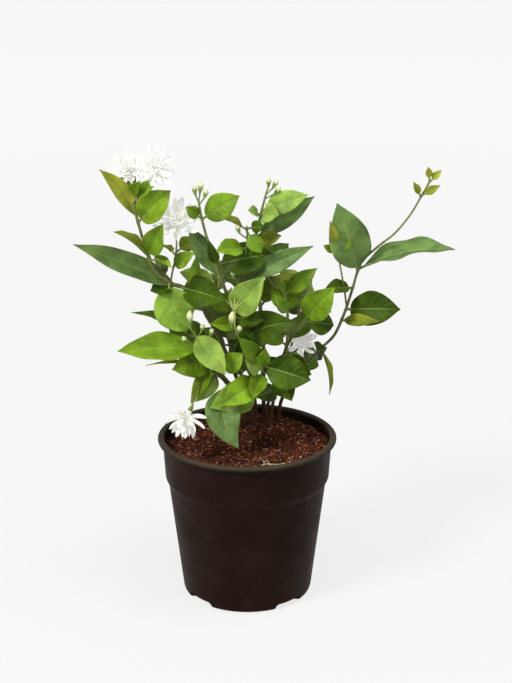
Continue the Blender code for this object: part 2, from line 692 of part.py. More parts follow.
def petal_rings(heart, toward, turn, tilt, length, width):
    """One petal: a thin blade that arches out from the bloom's heart."""
    out = Matrix.Rotation(turn, 3, toward) @ toward.orthogonal().normalized()
    lean = math.radians(tilt)
    way = toward * math.cos(lean) + out * math.sin(lean)
    side = toward.cross(out)
    lift = side.cross(way)
    rings = []
    for u, half in PETAL_SHAPE:
        point = heart + way * (length * u) + lift * (length * PETAL_ARCH * u * (1 - u))
        wide = side * width / 2 * half
        thick = lift * PETAL_THICK / 2
        rings.append([point - wide, point + thick, point + wide, point - thick])
    return rings


def bloom_axis(bloom):
    """The end of the bloom's cane and the way that the bloom looks."""
    return Vector(STEMS[bloom.stem][0][bloom.cane].points[-1]), Vector(bloom.toward).normalized()


def bloom_rings(bloom):
    """The tube, a small heart and the petals in their layers."""
    end, toward = bloom_axis(bloom)
    foot = end + toward * (CALYX_LENGTH + GAP)
    heart = foot + toward * (TUBE_LENGTH - CALYX_LENGTH)
    pieces = [round_rings([foot, heart - toward, heart + toward, heart + toward * HEART_LENGTH],
                          [TUBE_RADIUS, TUBE_RADIUS, HEART_RADIUS, HEART_RADIUS / 3], 6)]
    for layer, (count, length, width, tilt) in enumerate(PETAL_LAYERS):
        for k in range(count):
            turn = math.radians(bloom.turn) + 2 * math.pi * (k + 0.5 * layer) / count
            sway = 1 + PETAL_SWAY * math.sin(2.4 * k + layer)
            lean = tilt + PETAL_LEAN * math.cos(1.9 * k + bloom.turn)
            pieces.append(petal_rings(heart + toward * PETAL_STEP * layer, toward, turn, lean,
                                      bloom.size * length * sway, bloom.size * width))
    return pieces


# What would cross another stem is bent clear: these are the ways a leaf's tip may move
NUDGES = [(0, 0, 0)] + [
    (reach * dx, reach * dy, reach * dz)
    for reach in (3, 6, 9, 12, 16)
    for dx, dy, dz in ((0, 0, 1), (0, -1, 0), (0, 1, 0), (0, 0, -1), (0, -0.7, 0.7), (0, 0.7, 0.7),
                       (0.7, 0, 0.7), (-0.7, 0, 0.7), (0.8, -0.6, 0), (-0.8, -0.6, 0))
]


def clear_leaf(base, leaf, others):
    """The leaf's sections, with its tip moved until it crosses nothing of another node."""
    for nudge in NUDGES:
        tip = Vector(leaf.tip) + Vector(nudge)
        grown = ring_tree(leaf_rings(base, tip, leaf, CLEARANCE))
        if not any(grown.overlap(other) for other in others):
            return leaf_rings(base, tip, leaf)
    raise ValueError(f"no clear place for the leaf at {leaf.tip}")


def turns_over(vert, other):
    """Whether a face round the vertex would flip if the vertex moved onto the other."""
    for face in vert.link_faces:
        if other in face.verts:
            continue
        corners = [other.co if v is vert else v.co for v in face.verts]
        moved = (corners[1] - corners[0]).cross(corners[2] - corners[0])
        if moved.length < NO_AREA or moved.normalized().dot(face.normal) < FLIP_LIMIT:
            return True
    return False


def drop_short_edges(bm):
    """Collapses the tiny edges that a union leaves, where the surface stays closed."""
    bmesh.ops.triangulate(bm, faces=bm.faces)
    shrinking = True
    while shrinking:
        shrinking = False
        for edge in sorted(bm.edges, key=lambda e: e.calc_length()):
            if not edge.is_valid or edge.calc_length() > SHORT_EDGE * MM:
                continue
            for gone, kept in (edge.verts, edge.verts[:][::-1]):
                near = {e.other_vert(gone) for e in gone.link_edges}
                shared = near & {e.other_vert(kept) for e in kept.link_edges}
                busy = all(len(v.link_edges) > 3 for v in (gone, kept, *shared))
                if len(shared) == 2 and busy and not turns_over(gone, kept):
                    bmesh.ops.weld_verts(bm, targetmap={gone: kept})
                    bm.normal_update()
                    shrinking = True
                    break


def fused(name, pieces, collection, finish):
    """One object from overlapping lofts, joined by a Boolean union."""
    helpers = new_collection(name + "_pieces", hidden=True)
    body = None
    for rings in pieces:
        bm = bmesh.new()
        loft(bm, rings)
        first = body is None
        obj = object_of(bm, name if first else name + "_piece", collection if first else helpers)
        body = body or obj
        hide_cutter(obj)
    union = body.modifiers.new("fuse", "BOOLEAN")
    union.operation = "UNION"
    union.operand_type = "COLLECTION"
    union.collection = helpers
    union.solver = "EXACT"
    applied(body)
    for obj in list(helpers.objects):
        bpy.data.objects.remove(obj)
    bpy.data.collections.remove(helpers)
    bm = bmesh.new()
    bm.from_mesh(body.data)
    drop_short_edges(bm)
    bm.to_mesh(body.data)
    bm.free()
    body.hide_render = False
    body.display_type = "TEXTURED"
    body.data.materials.append(finish)
    return body


def main():
    cleared_scene()
    plant = new_collection("potted_arabian_jasmine")
    pot_cutters = new_collection("pot_cutters", hidden=True)
    soil_cutters = new_collection("soil_cutters", hidden=True)
    make_pot(plant, pot_cutters)
    entries = [(canes[0].points[0][:2], canes[0].thick) for canes, _, _ in STEMS.values()]
    soil = make_soil(plant, soil_cutters, entries)

    routes = {name: [cane_route(cane) for cane in canes] for name, (canes, _, _) in STEMS.items()}
    pieces, placed = {}, {"soil": [mesh_tree(soil)]}
    for name, bloom in BLOOMS.items():
        pieces[name] = bloom_rings(bloom)
        placed[name] = [ring_tree(rings) for rings in pieces[name]]
    for name, (canes, _, buds) in STEMS.items():
        made = [cane_rings(cane) for cane in canes]
        for bud in buds:
            made.append(bud_rings(bud, routes[name]))
        for bloom in BLOOMS.values():
            if bloom.stem == name:
                made += calyx_rings(*bloom_axis(bloom))
        pieces[name] = made
        placed[name] = [ring_tree(rings) for rings in made]
    for name, (_, leaves, _) in STEMS.items():
        others = [tree for other, trees in placed.items() if other != name for tree in trees]
        for leaf in leaves:
            base = at_height(routes[name][leaf.cane], leaf.height)
            rings = clear_leaf(base, leaf, others)
            pieces[name].append(rings)
            placed[name].append(ring_tree(rings))

    green = material("leaf_green", (0.075, 0.19, 0.022), 0.42)
    white = material("petal_white", (0.9, 0.9, 0.86), 0.6)
    for name, lofts in pieces.items():
        fused(name, lofts, plant, white if name in BLOOMS else green)


main()
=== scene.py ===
# The looks of a potted Arabian jasmine: veined glossy leaves, buds and double blooms over
# crumbly potting soil in a satin black nursery pot, on a plain pale floor.
# Sizes are in millimetres in the plant, the pot and the soil, and in metres in the materials
# and on the stage. +Z is up and -Y is the front.

import math
import random
from collections import namedtuple

import bmesh
import bpy
from mathutils import Matrix, Vector, noise
from mathutils.kdtree import KDTree


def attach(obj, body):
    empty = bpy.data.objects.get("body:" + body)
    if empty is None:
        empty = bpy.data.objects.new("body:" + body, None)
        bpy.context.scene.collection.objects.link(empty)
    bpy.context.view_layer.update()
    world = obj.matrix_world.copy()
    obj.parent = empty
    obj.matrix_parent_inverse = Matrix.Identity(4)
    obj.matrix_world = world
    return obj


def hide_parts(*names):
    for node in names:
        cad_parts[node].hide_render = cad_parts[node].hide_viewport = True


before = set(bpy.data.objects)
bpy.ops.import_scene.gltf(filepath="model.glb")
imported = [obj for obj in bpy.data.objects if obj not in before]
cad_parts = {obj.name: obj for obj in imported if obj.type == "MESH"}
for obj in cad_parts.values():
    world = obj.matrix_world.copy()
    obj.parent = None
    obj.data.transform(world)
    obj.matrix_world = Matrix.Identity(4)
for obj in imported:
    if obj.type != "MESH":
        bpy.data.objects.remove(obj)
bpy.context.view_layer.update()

MM = 0.001
SEED = 7
FULL_TURN = 2 * math.pi
GAP = 0.3  # between pieces that fit into each other

# Pot
RIM_RADIUS = 65.0
RIM_HEIGHT = 121.0
BAND_RADIUS = 61.3
BAND_FOOT = 90.0
BAND_TAPER = 1.6
STEP_IN = 2.2
STEP_HEIGHT = 4.0
BASE_RADIUS = 47.0
WALL = 1.4
LIP_HEIGHT = 4.5
LIP_INSIDE = ((0.0, 1.6), (0.5, 0.4), (1.6, 0.0))  # out from the inner wall, down from the top
LIP_OUTSIDE = ((1.2, 0.1), (0.0, 1.4), (0.2, 3.0), (1.3, 4.1))  # in from the edge, down from the top
LIP_ROUND = 1.2
# How far down the painted highlight on the top of the lip reaches
LIP_HIGHLIGHT = 3.0
INNER_ROUND = 1.0
CURVE_TOP = 3.2
FOOT_CURVE = ((0.5, 1.1), (2.6, 0.0))  # in from the base radius, and the height
FLOOR_EDGE = 2.5
SLOT_SIZE = (14.0, 25.0, 5.8)  # deep, wide and high
SLOT_ROUND = 5.0
SLOT_ANGLES = (41.0, 131.0, 221.0, 311.0)
DRAIN_RADIUS = 4.0
DRAIN_CIRCLE = 22.0
POT_STEPS = 144
WELD = 0.02  # the cuts leave points this close together
SHARP_FROM = 38.0  # degrees

# Soil
SOIL_EDGE_HEIGHT = 113.5
SOIL_MOUND = 3.0
MOUND_AT = (8.0, 34.0)
MOUND_REACH = 30.0
SOIL_WAVES = ((0.5, 0.31, 0.27), (0.35, 0.53, -0.47))  # height, and waves along x and y
SOIL_BUMPS = ((0.8, 0.13), (0.45, 0.9))  # height, and waves for each millimetre
SOIL_CELLS = ((0.8, 0.2), (0.9, 0.42))  # height, and cells for each millimetre
SOIL_FOOT = (3.5, 3.2)  # height, and in from the pot's wall
SOIL_SECTORS = 300
SOIL_RINGS = 84
SPOT_MARGIN = 1.5
FIBRE_MARGIN = 6.0
PERLITE_CHIPS = 260
PERLITE_SIZES = (0.18, 0.2, 0.22, 0.25, 0.3, 0.4, 0.55, 0.75)
CRUMBS = 2600
CRUMB_SIZES = (0.25, 1.25)
CRUMB_COLOURS = (
    (0.085, 0.024, 0.012), (0.05, 0.014, 0.008), (0.02, 0.007, 0.005), (0.012, 0.006, 0.005),
    (0.17, 0.05, 0.021), (0.30, 0.11, 0.055),
)
FIBRES = 150
FIBRE_THICK = 0.1
FIBRE_PARTS = 5
FIBRE_BROWN = (0.20, 0.11, 0.06)
TWIG = ((10.0, -43.0), (14.5, -41.5), (20.0, -40.5), (27.0, -39.5))
TWIG_FORKS = (
    ((12.0, -42.5), (11.5, -36.5), (9.0, -30.5)),
    ((11.7, -38.0), (14.5, -34.0)),
    ((14.5, -41.5), (19.0, -44.0), (22.0, -44.5)),
)
TWIG_PALE = (0.52, 0.44, 0.25)
TWIG_THICK = 0.42
FORK_THICK = 0.3
TWIG_ABOVE = 0.9

# Stems and leaves
ENTRY_HEIGHT = 119.0
FOOT_HEIGHT = 104.0
WOODY_BELOW = 165.0
BARK_BLEND = 12.0
CANE_PARTS = 6
CANE_SIDES = 12
CANE_ROUGH = (0.05, 0.45)  # share of the radius, and waves for each millimetre
KNOT_REACH = 1.6
KNOT_SWELL = 0.22
STALK_PARTS = 14
STALK_THICK = (0.62, 0.012)  # radius, and more for each millimetre of the blade's width
STALK_TAPER = 0.85
MIDRIB_END = 0.96
BLADE = 0.75
PETIOLE = 4.0
TIP_HALF = 0.5
WIDEST = 0.86
BLADE_EDGE = 0.3
BLADE_SWELL = 0.2
BLADE_END = 0.35
LEAF_ROWS = ((18, 34, 16), (11, 24, 12), (0, 16, 8))  # from this width, rows along and across
EDGE_WAVE = 0.05
FOLD_CURVE = 1.35
PUFF = 0.38
UNDER_PUFF = 0.8
GROOVE = 0.35
GROOVE_HALF = 0.9
VEIN_BEND = 0.24
VEIN_CURVE = 1.35
VEINS_ALONG = 6.9
FIRST_VEIN = 0.35

# Calyces and buds
CALYX_LENGTH = 3.0
CALYX_RADIUS = 1.6
CALYX_PROFILE = ((-0.8, 0.45), (-0.3, 0.62), (0.15, 0.9), (0.55, 1.0), (0.9, 1.0), (1.0, 0.94))
CALYX_TEETH = 8
TOOTH_LENGTH = 5.5
TOOTH_RADII = (0.4, 0.36, 0.28, 0.18, 0.07)
BUD_STALK_RADII = (0.62, 0.58, 0.55, 0.55, 0.58, 0.75)
BUD_CUP = ((-0.03, 0.6), (0.08, 0.95), (0.2, 1.05), (0.3, 1.0))  # share of the bud, and radius
BUD_PROFILE = (
    (0.22, 0.30), (0.32, 0.33), (0.42, 0.45), (0.52, 0.72), (0.60, 0.93), (0.68, 1.0),
    (0.76, 0.93), (0.84, 0.74), (0.91, 0.50), (0.96, 0.30), (1.0, 0.10),
)
BUD_SIDES = 15
BUD_PETALS = 5
BUD_TEETH = 7
BUD_WOUND = 0.09
BUD_STALK_DIP = 0.4

# A calyx that has dropped its bloom: the stem it is on, and its stalk from a bud's foot
SPENT_CALYX = ("stem_centre", ((-6.3, -19.8, 203.0), (-9.0, -28.0, 206.0), (-8.6, -29.0, 224.0)))
SPENT_RADII = (0.45, 0.45, 0.45, 0.45, 0.45, 0.6, 1.0)
SPENT_TOOTH = 10.0

# Blooms
TUBE_LENGTH = 10.0
TUBE_RADIUS = 1.1
TUBE_PROFILE = (
    (0, 0.95), (0.35, 0.95), (0.75, 1.0), (0.92, 1.35), (1.0, 1.9), (1.14, 1.95), (1.3, 1.4), (1.42, 0.6),
)
PETAL_THICK = 0.35
PETAL_ROWS = 12
PETAL_COLUMNS = 6
# Layers of a double bloom: petals, length and width as a share of its size, the angle
# between a petal and the bloom's axis, and how far up the heart the layer starts
PETAL_LAYERS = (
    (8, 1.0, 0.33, 82.0, 0.0),
    (8, 0.95, 0.31, 64.0, 0.8),
    (7, 0.86, 0.30, 48.0, 1.4),
    (6, 0.70, 0.30, 30.0, 2.0),
    (4, 0.52, 0.28, 14.0, 2.6),
)

# Colours of the plant. The upper side of a leaf goes by its tone: young is yellow, light, fresh
# and olive are greens of their own, and mid is the plain green. Bright is mid green with painted light,
# dark is mid green with painted shade, and blue is mid green with a painted bluish-grey sheen.
TONES = {
    "young": (0.21, 0.25, 0.022),
    "light": (0.20, 0.32, 0.055),
    "fresh": (0.15, 0.265, 0.030),
    "bright": (0.125, 0.23, 0.010),
    "olive": (0.145, 0.185, 0.012),
    "mid": (0.094, 0.175, 0.006),
    "blue": (0.092, 0.165, 0.045),
    "dark": (0.036, 0.074, 0.001),
}
UNDERSIDE = (0.13, 0.18, 0.05)
STALK_GREEN = (0.12, 0.17, 0.03)
YOUNG_CANE = (0.17, 0.20, 0.045)
OLD_CANE = (0.06, 0.024, 0.011)
BUD_GREEN = (0.23, 0.34, 0.06)
BUD_CREAM = (0.62, 0.63, 0.36)
SPENT_GREEN = (0.42, 0.50, 0.14)
PETAL_WHITE = (0.84, 0.84, 0.80)
PETAL_FOOT = (0.66, 0.72, 0.38)

# Which way the upper side of a leaf looks
UP = (0.0, -0.2, 1.0)
UP_FRONT = (0.0, -0.7, 0.7)
FRONT = (0.0, -1.0, 0.45)
LEFT = (-1.0, -0.5, 0.5)
RIGHT = (1.0, -0.5, 0.5)
BACK = (0.0, 1.0, 0.5)
BACK_LEFT = (-0.7, 0.7, 0.6)
BACK_RIGHT = (0.7, 0.7, 0.6)

# A cane is a shoot through points, thick at its start. A leaf grows from its cane at a
# height and ends at a tip; fold is how far its halves are raised, arch how far its middle
# bulges to the upper side, bow sideways, both as a share of its length. A bud stands on a
# stalk from its cane, and a bloom in its calyx at the end of a cane. In a stem, each leaf
# and each bud is one row of these values.
Cane = namedtuple("Cane", "thick thin points")
Leaf = namedtuple("Leaf", "tone cane height tip width face fold arch bow", defaults=(FRONT, 0.25, 0.08, 0.0))
Bud = namedtuple("Bud", "cane height foot tip width", defaults=(3.4,))
Stem = namedtuple("Stem", "canes leaves buds")
Bloom = namedtuple("Bloom", "stem cane toward size turn")


STEMS = {
    # The far left shoot with two blooms at its top, and the twig of the third bloom.
    "stem_left": Stem([
        Cane(1.6, 0.8, [(0, 36, 119), (-6, 27, 150), (-22, 14, 194), (-38, 7, 225), (-54, 2, 235),
            (-64, -2, 244), (-69, -4, 257), (-72, -6, 268), (-75, -8, 281), (-78, -9, 294),
            (-79, -2, 301), (-78, 7, 308)]),
        Cane(0.7, 0.6, [(-54, 2, 235), (-52, 0, 245), (-50, -2, 254), (-49, -2, 264), (-49, 0, 275)]),
        Cane(0.7, 0.6, [(-78, -9, 294), (-72, -12, 303), (-64, -13, 315)]),
    ], [
        ("young", 0, 282, (-100, -16, 320), 12, FRONT, 0.25, 0.0, 0.08),
        ("bright", 0, 294, (-89, -2, 311), 12, FRONT, 0.3),
        ("bright", 0, 297, (-60, -18, 314), 9, FRONT, 0.3), ("mid", 0, 299, (-72, -20, 313), 8, FRONT, 0.4),
        ("bright", 0, 281, (-52, -14, 302), 21, FRONT, 0.45),
        ("olive", 0, 254, (-92, -10, 275), 14, UP, 0.4),
        ("bright", 0, 256, (-57, -14, 284), 16, FRONT, 0.35),
        ("bright", 0, 253, (-52, -20, 252), 8, UP, 0.6),
        ("blue", 0, 231, (-120, -10, 266), 19, UP_FRONT, 0.3, 0.02),
        ("dark", 0, 238, (-66, 16, 252), 14, BACK),
        ("fresh", 0, 236, (-42, -5, 201), 29, FRONT, 0.2, 0.08, 0.08),
        ("dark", 0, 232, (-68, -2, 230), 14, UP_FRONT, 0.3),
        ("dark", 0, 231, (-15, -12, 226), 22, FRONT, 0.3, 0.12),
        ("bright", 0, 224, (-35, -5, 257), 10, FRONT, 0.4), ("olive", 1, 256, (-61, 8, 261), 10, BACK_LEFT),
        ("olive", 1, 258, (-37, 8, 265), 12), ("bright", 1, 247, (-36, -16, 262), 11, FRONT, 0.3),
    ], []),
    # The middle shoot forks into two budding tops.
    "stem_centre": Stem([
        Cane(1.6, 0.7, [(6, 29, 119), (5, 22, 145), (-2, 8, 184), (-10, 0, 215), (-19, -4, 242),
            (-23, -6, 257), (-27, -8, 268), (-30, -10, 280), (-32, -12, 291), (-33, -13, 298)]),
        Cane(0.9, 0.6, [(-10, 0, 215), (-5, -4, 238), (0, -8, 265), (0, -10, 279)]),
    ], [
        ("bright", 0, 284, (-5, -17, 302), 19, FRONT, 0.2), ("mid", 0, 284, (-44, -14, 294), 9),
        ("blue", 0, 240, (-41, -2, 277), 15, FRONT, 0.3), ("dark", 0, 250, (-27, -20, 271), 8, FRONT, 0.4),
        ("dark", 0, 250, (18, -5, 258), 23, FRONT, 0.2), ("light", 0, 212, (12, -25, 247), 22),
        ("mid", 0, 213, (-29, -12, 231), 13), ("bright", 0, 203, (-26, -19, 211), 11),
        ("dark", 0, 209, (12, -13, 212), 14), ("dark", 0, 188, (34, -22, 213), 25, FRONT, 0.25, 0.1, -0.08),
        ("dark", 0, 180, (-3, -22, 209), 14, FRONT, 0.3), ("dark", 0, 190, (-34, 22, 214), 22, BACK_LEFT),
        ("dark", 0, 160, (-16, 28, 186), 20, BACK_LEFT),
        ("bright", 1, 262, (-21, -22, 264), 15, UP_FRONT, 0.3),
        ("olive", 1, 276, (-20, -10, 285), 10, UP, 0.4), ("mid", 1, 275, (10, -18, 262), 12),
        ("dark", 1, 277, (12, -14, 280), 9, FRONT, 0.4),
        ("blue", 1, 238, (46, -11, 265), 15, FRONT, 0.25, 0.05),
    ], [
        (0, 296, (-35, -14, 302), (-36, -15, 309)), (0, 297, (-32, -13, 303), (-31, -13, 311)),
        (0, 295, (-29, -14, 300), (-27, -15, 306)), (1, 270, (-5, -14, 275), (-7, -15, 281)),
        (1, 240, (-9, -9, 241), (-10, -10, 247)), (0, 196, (-11, -20, 208), (-10, -22, 221), 5.0),
        (0, 194, (-6, -20, 204), (-5, -23, 211), 3.6),
    ]),
    # The tallest middle shoot, with a spray of buds.
    "stem_tall": Stem([
        Cane(1.7, 0.7, [(13, 38, 119), (12, 34, 140), (12, 21, 180), (9, 9, 220), (5, 4, 258),
            (8, 1, 276), (11, -3, 291), (14, -5, 303)]),
    ], [
        ("light", 0, 288, (42, -10, 301), 16), ("light", 0, 284, (1, -9, 290), 9, UP_FRONT),
        ("light", 0, 285, (22, -19, 289), 15), ("blue", 0, 268, (47, 2, 297), 16, FRONT, 0.2, 0.04),
        ("olive", 0, 264, (24, -13, 265), 11), ("dark", 0, 240, (-12, 30, 258), 20, BACK_LEFT),
        ("dark", 0, 238, (30, 30, 256), 20, BACK_RIGHT), ("dark", 0, 216, (-18, 38, 232), 22, BACK_LEFT),
        ("olive", 0, 214, (34, 36, 232), 20, BACK_RIGHT), ("dark", 0, 186, (-10, 8, 206), 18),
        ("dark", 0, 158, (28, 8, 176), 16),
    ], [
        (0, 301, (15, -6, 306), (15, -7, 312)), (0, 300, (18, -6, 305), (21, -7, 311)),
        (0, 297, (19, -7, 301), (23, -8, 306)),
    ]),
    # The long right shoot ends in a thin young twig.
    "stem_right": Stem([
        Cane(1.4, 0.6, [(24, 43, 119), (26, 38, 134), (32, 32, 147), (39, 24, 158), (45, 21, 169),
            (53, 18, 180), (63, 14, 192), (70, 9, 211), (75, 5, 230), (78, 2, 243), (82, 1, 252),
            (93, -1, 263), (103, -3, 272), (113, -4, 285), (120, -5, 298), (126, -6, 310)]),
        Cane(0.7, 0.6, [(71, 8, 216), (69, 2, 229), (66, -3, 245), (63, -5, 260)]),
    ], [
        ("blue", 0, 243, (62, -10, 295), 29, FRONT, 0.2), ("blue", 0, 245, (144, -14, 263), 30, UP),
        ("dark", 0, 213, (108, -8, 218), 25, FRONT, 0.2), ("olive", 0, 204, (93, -14, 211), 9, FRONT, 0.3),
        ("dark", 0, 230, (54, -8, 232), 12, UP_FRONT, 0.4), ("dark", 0, 177, (57, 0, 187), 14),
        ("olive", 0, 181, (60, 12, 147), 7, RIGHT, 0.5), ("dark", 0, 160, (48, 54, 172), 18, BACK_RIGHT),
        ("young", 0, 298, (114, -11, 310), 5), ("young", 0, 299, (132, -13, 308), 6),
        ("young", 0, 309, (124, -9, 320), 5), ("young", 0, 308, (133, -9, 318), 5),
        ("olive", 1, 258, (53, -10, 265), 6), ("young", 1, 260, (57, -16, 284), 7),
        ("mid", 1, 259, (73, -9, 268), 6),
    ], []),
    # A shorter shoot fills the middle right.
    "stem_right_low": Stem([
        Cane(1.4, 0.8, [(18, 30, 119), (20, 24, 142), (25, 14, 170), (29, 8, 190), (29, 4, 210),
            (27, 2, 227)]),
        Cane(0.9, 0.7, [(26, 11, 178), (34, 6, 196), (42, 3, 208)]),
    ], [
        ("mid", 0, 226, (49, -7, 248), 13), ("mid", 0, 210, (27, 10, 235), 22, FRONT, 0.2),
        ("bright", 0, 211, (19, -13, 231), 9), ("dark", 0, 226, (12, 22, 246), 16, BACK_LEFT),
        ("bright", 1, 207, (61, -14, 236), 21, FRONT, 0.3), ("dark", 1, 206, (62, 6, 202), 18),
        ("mid", 0, 186, (2, -12, 206), 14), ("dark", 0, 170, (46, -10, 168), 20),
        ("dark", 0, 158, (32, -12, 151), 19), ("dark", 0, 188, (52, 36, 200), 18, BACK_RIGHT),
        ("dark", 0, 146, (4, 0, 150), 15),
    ], []),
    # The low front shoot leans left, with the leaf that hangs over the soil.
    "stem_front": Stem([
        Cane(1.3, 0.8, [(4, 21, 119), (3, 15, 132), (-3, 6, 147), (-11, -4, 160), (-18, -10, 171),
            (-19, -11, 174)]),
        Cane(0.9, 0.6, [(2, 13, 136), (6, 5, 150), (10, -2, 166), (12, -6, 178)]),
    ], [
        ("bright", 0, 172, (-3, -15, 188), 15),
        ("blue", 0, 160, (-6, -38, 125), 25, FRONT, 0.15, 0.16, 0.17),
        ("fresh", 1, 152, (-26, -28, 152), 24), ("bright", 1, 163, (-18, -35, 156), 20),
        ("light", 1, 171, (-1, -17, 184), 14), ("mid", 1, 176, (-6, -12, 202), 13),
        ("bright", 1, 173, (13, -18, 193), 10), ("mid", 1, 170, (4, -26, 158), 13, FRONT, 0.4),
        ("dark", 1, 175, (45, -16, 168), 25),
    ], []),
    # The low left shoot, with the bloom that droops over the rim.
    "stem_low_left": Stem([
        Cane(1.4, 0.8, [(-5, 27, 119), (-9, 20, 142), (-21, 7, 167), (-30, 0, 184), (-36, -3, 195),
            (-38, -4, 201)]),
        Cane(0.7, 0.6, [(-22, 6, 168), (-29, -4, 168), (-36, -18, 162), (-39, -29, 153)]),
    ], [
        ("bright", 0, 187, (-91, -16, 190), 23, UP_FRONT, 0.3, 0.04), ("mid", 0, 176, (-53, -15, 176), 20),
        ("bright", 0, 174, (-40, -20, 153), 11), ("light", 0, 165, (-40, -16, 151), 15),
        ("dark", 0, 195, (-83, 18, 208), 12, UP, 0.4), ("olive", 0, 169, (-73, 8, 171), 5, UP, 0.3),
        ("light", 0, 199, (-15, -26, 176), 19, FRONT, 0.5, 0.04),
        ("dark", 0, 182, (-56, 36, 196), 22, BACK_LEFT), ("mid", 0, 158, (-46, 34, 164), 20, BACK_LEFT),
    ], [
        (0, 195, (-40, -11, 206), (-40, -13, 219), 5.0), (0, 195, (-32, -11, 203), (-31, -13, 209)),
        (0, 190, (-26, -12, 200), (-24, -14, 206)), (0, 193, (-43, -10, 194), (-45, -13, 200)),
    ]),
    # Two shoots at the back, as full as the front.
    "stem_back_left": Stem([
        Cane(1.4, 0.7, [(3, 46, 119), (-2, 47, 142), (-12, 50, 170), (-20, 52, 196), (-24, 54, 214)]),
    ], [
        ("bright", 0, 212, (-50, 62, 226), 20, BACK_LEFT), ("mid", 0, 213, (-8, 76, 232), 20, BACK),
        ("dark", 0, 194, (-54, 66, 196), 25, BACK_LEFT), ("mid", 0, 192, (-14, 88, 204), 24, BACK),
        ("dark", 0, 172, (-46, 44, 176), 24, LEFT), ("dark", 0, 168, (8, 74, 186), 26, BACK),
        ("dark", 0, 150, (-36, 60, 150), 26, BACK_LEFT), ("mid", 0, 148, (2, 80, 150), 20, BACK),
    ], [
        (0, 212, (-26, 56, 222), (-26, 57, 229)), (0, 210, (-21, 57, 219), (-20, 59, 225)),
    ]),
    "stem_back_right": Stem([
        Cane(1.4, 0.7, [(15, 50, 119), (20, 51, 138), (31, 54, 164), (38, 55, 188), (40, 56, 206)]),
        Cane(0.7, 0.6, [(29, 53, 158), (33, 45, 165), (35, 37, 172)]),
    ], [
        ("bright", 0, 204, (48, 78, 222), 20, BACK_RIGHT), ("light", 0, 205, (24, 76, 224), 20, BACK),
        ("mid", 0, 188, (64, 76, 190), 23, BACK_RIGHT), ("dark", 0, 192, (44, 92, 204), 22, BACK),
        ("dark", 0, 176, (10, 56, 190), 16, BACK_LEFT), ("mid", 0, 156, (42, 84, 152), 20, BACK_RIGHT),
        ("dark", 0, 146, (20, 82, 146), 20, BACK),
    ], []),
}

BLOOMS = {
    "bloom_far_left": Bloom("stem_left", 0, (-0.25, -0.6, 0.75), 15.0, 10),
    "bloom_top_left": Bloom("stem_left", 2, (0.15, -0.75, 0.65), 17.0, 30),
    "bloom_left": Bloom("stem_left", 1, (0.05, -0.75, 0.66), 17.5, 0),
    "bloom_low": Bloom("stem_low_left", 1, (-0.35, -0.75, -0.55), 17.0, 20),
    "bloom_back": Bloom("stem_back_right", 1, (0.4, -0.4, 0.8), 15.0, 15),
}


# Routes and midlines

def smooth_route(points, start_tangent=None, parts=1):
    """Points along a smooth curve through the given ones."""
    out = []
    count = len(points)
    for i in range(count - 1):
        p0, p1 = points[i], points[i + 1]
        before = points[i - 1] if i else p0
        after = points[i + 2] if i + 2 < count else p1
        m0 = (p1 - before) / 2 if i or start_tangent is None else start_tangent * (p1 - p0).length
        m1 = (after - p0) / 2
        for k in range(parts):
            t = k / parts
            out.append(
                p0 * (2 * t**3 - 3 * t**2 + 1)
                + m0 * (t**3 - 2 * t**2 + t)
                + p1 * (3 * t**2 - 2 * t**3)
                + m1 * (t**3 - t**2)
            )
    out.append(points[-1])
    return out


def cane_route(cane, parts=1):
    """The cane's curve; one that starts at the soil stands straight in its hole first."""
    points = [Vector(p) for p in cane.points]
    if points[0].z != ENTRY_HEIGHT:
        return smooth_route(points, None, parts)
    foot = Vector((points[0].x, points[0].y, FOOT_HEIGHT))
    return [foot] + smooth_route(points, Vector((0, 0, 1)), parts)


def at_height(route, height):
    """The first point of a rising route at this height."""
    for low, high in zip(route, route[1:]):
        if low.z <= height <= high.z:
            return low.lerp(high, (height - low.z) / max(high.z - low.z, 1e-6))
    return route[-1]


def bezier(a, b, c, t):
    return a * (1 - t) ** 2 + b * (2 * t * (1 - t)) + c * t**2


def bent_route(start, bend, end, parts):
    """Points along a simple curve."""
    return [bezier(start, bend, end, k / parts) for k in range(parts + 1)]


def blade_share(u, broad):
    """Half the blade's width, from 0 to 1, at this share of its length. It ends in a point."""
    blunt = min(max(1.1 - 0.7 * broad, 0.65), 0.9)
    return math.sin(math.pi * u**WIDEST) ** (blunt + (1 - blunt) * u**2)


class Midline:
    """The curve of a leaf's midrib from its cane to its tip, with its own directions."""

    def __init__(self, base, tip, leaf):
        chord = tip - base
        side = chord.cross(Vector(leaf.face)).normalized()
        self.normal = side.cross(chord).normalized()
        self.base, self.tip = base, tip
        self.middle = (base + tip) / 2 + (self.normal * leaf.arch + side * leaf.bow) * chord.length * 2
        self.start = PETIOLE / chord.length
        self.broad = leaf.width / chord.length

    def at(self, t):
        """The point there, and the directions across the blade and up from it."""
        point = bezier(self.base, self.middle, self.tip, t)
        ahead = bezier(self.base, self.middle, self.tip, min(t + 0.01, 1))
        behind = bezier(self.base, self.middle, self.tip, t - 0.01)
        along = (ahead - behind).normalized()
        across = along.cross(self.normal).normalized()
        return point, across, across.cross(along)


# The ways that a leaf's tip may have moved so that the leaf crosses nothing
NUDGE_WAYS = (
    (0, 0, 1), (0, -1, 0), (0, 1, 0), (0, 0, -1), (0, -0.7, 0.7), (0, 0.7, 0.7),
    (0.7, 0, 0.7), (-0.7, 0, 0.7), (0.8, -0.6, 0), (-0.8, -0.6, 0),
)
NUDGES = [(0, 0, 0)] + [
    (reach * dx, reach * dy, reach * dz) for reach in (3, 6, 9, 12, 16) for dx, dy, dz in NUDGE_WAYS
]


def corner_tree(node):
    """The corners of a CAD node, for looking up the nearest."""
    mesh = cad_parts[node].data
    tree = KDTree(len(mesh.vertices))
    for vert in mesh.vertices:
        tree.insert(vert.co / MM, vert.index)
    tree.balance()
    return tree


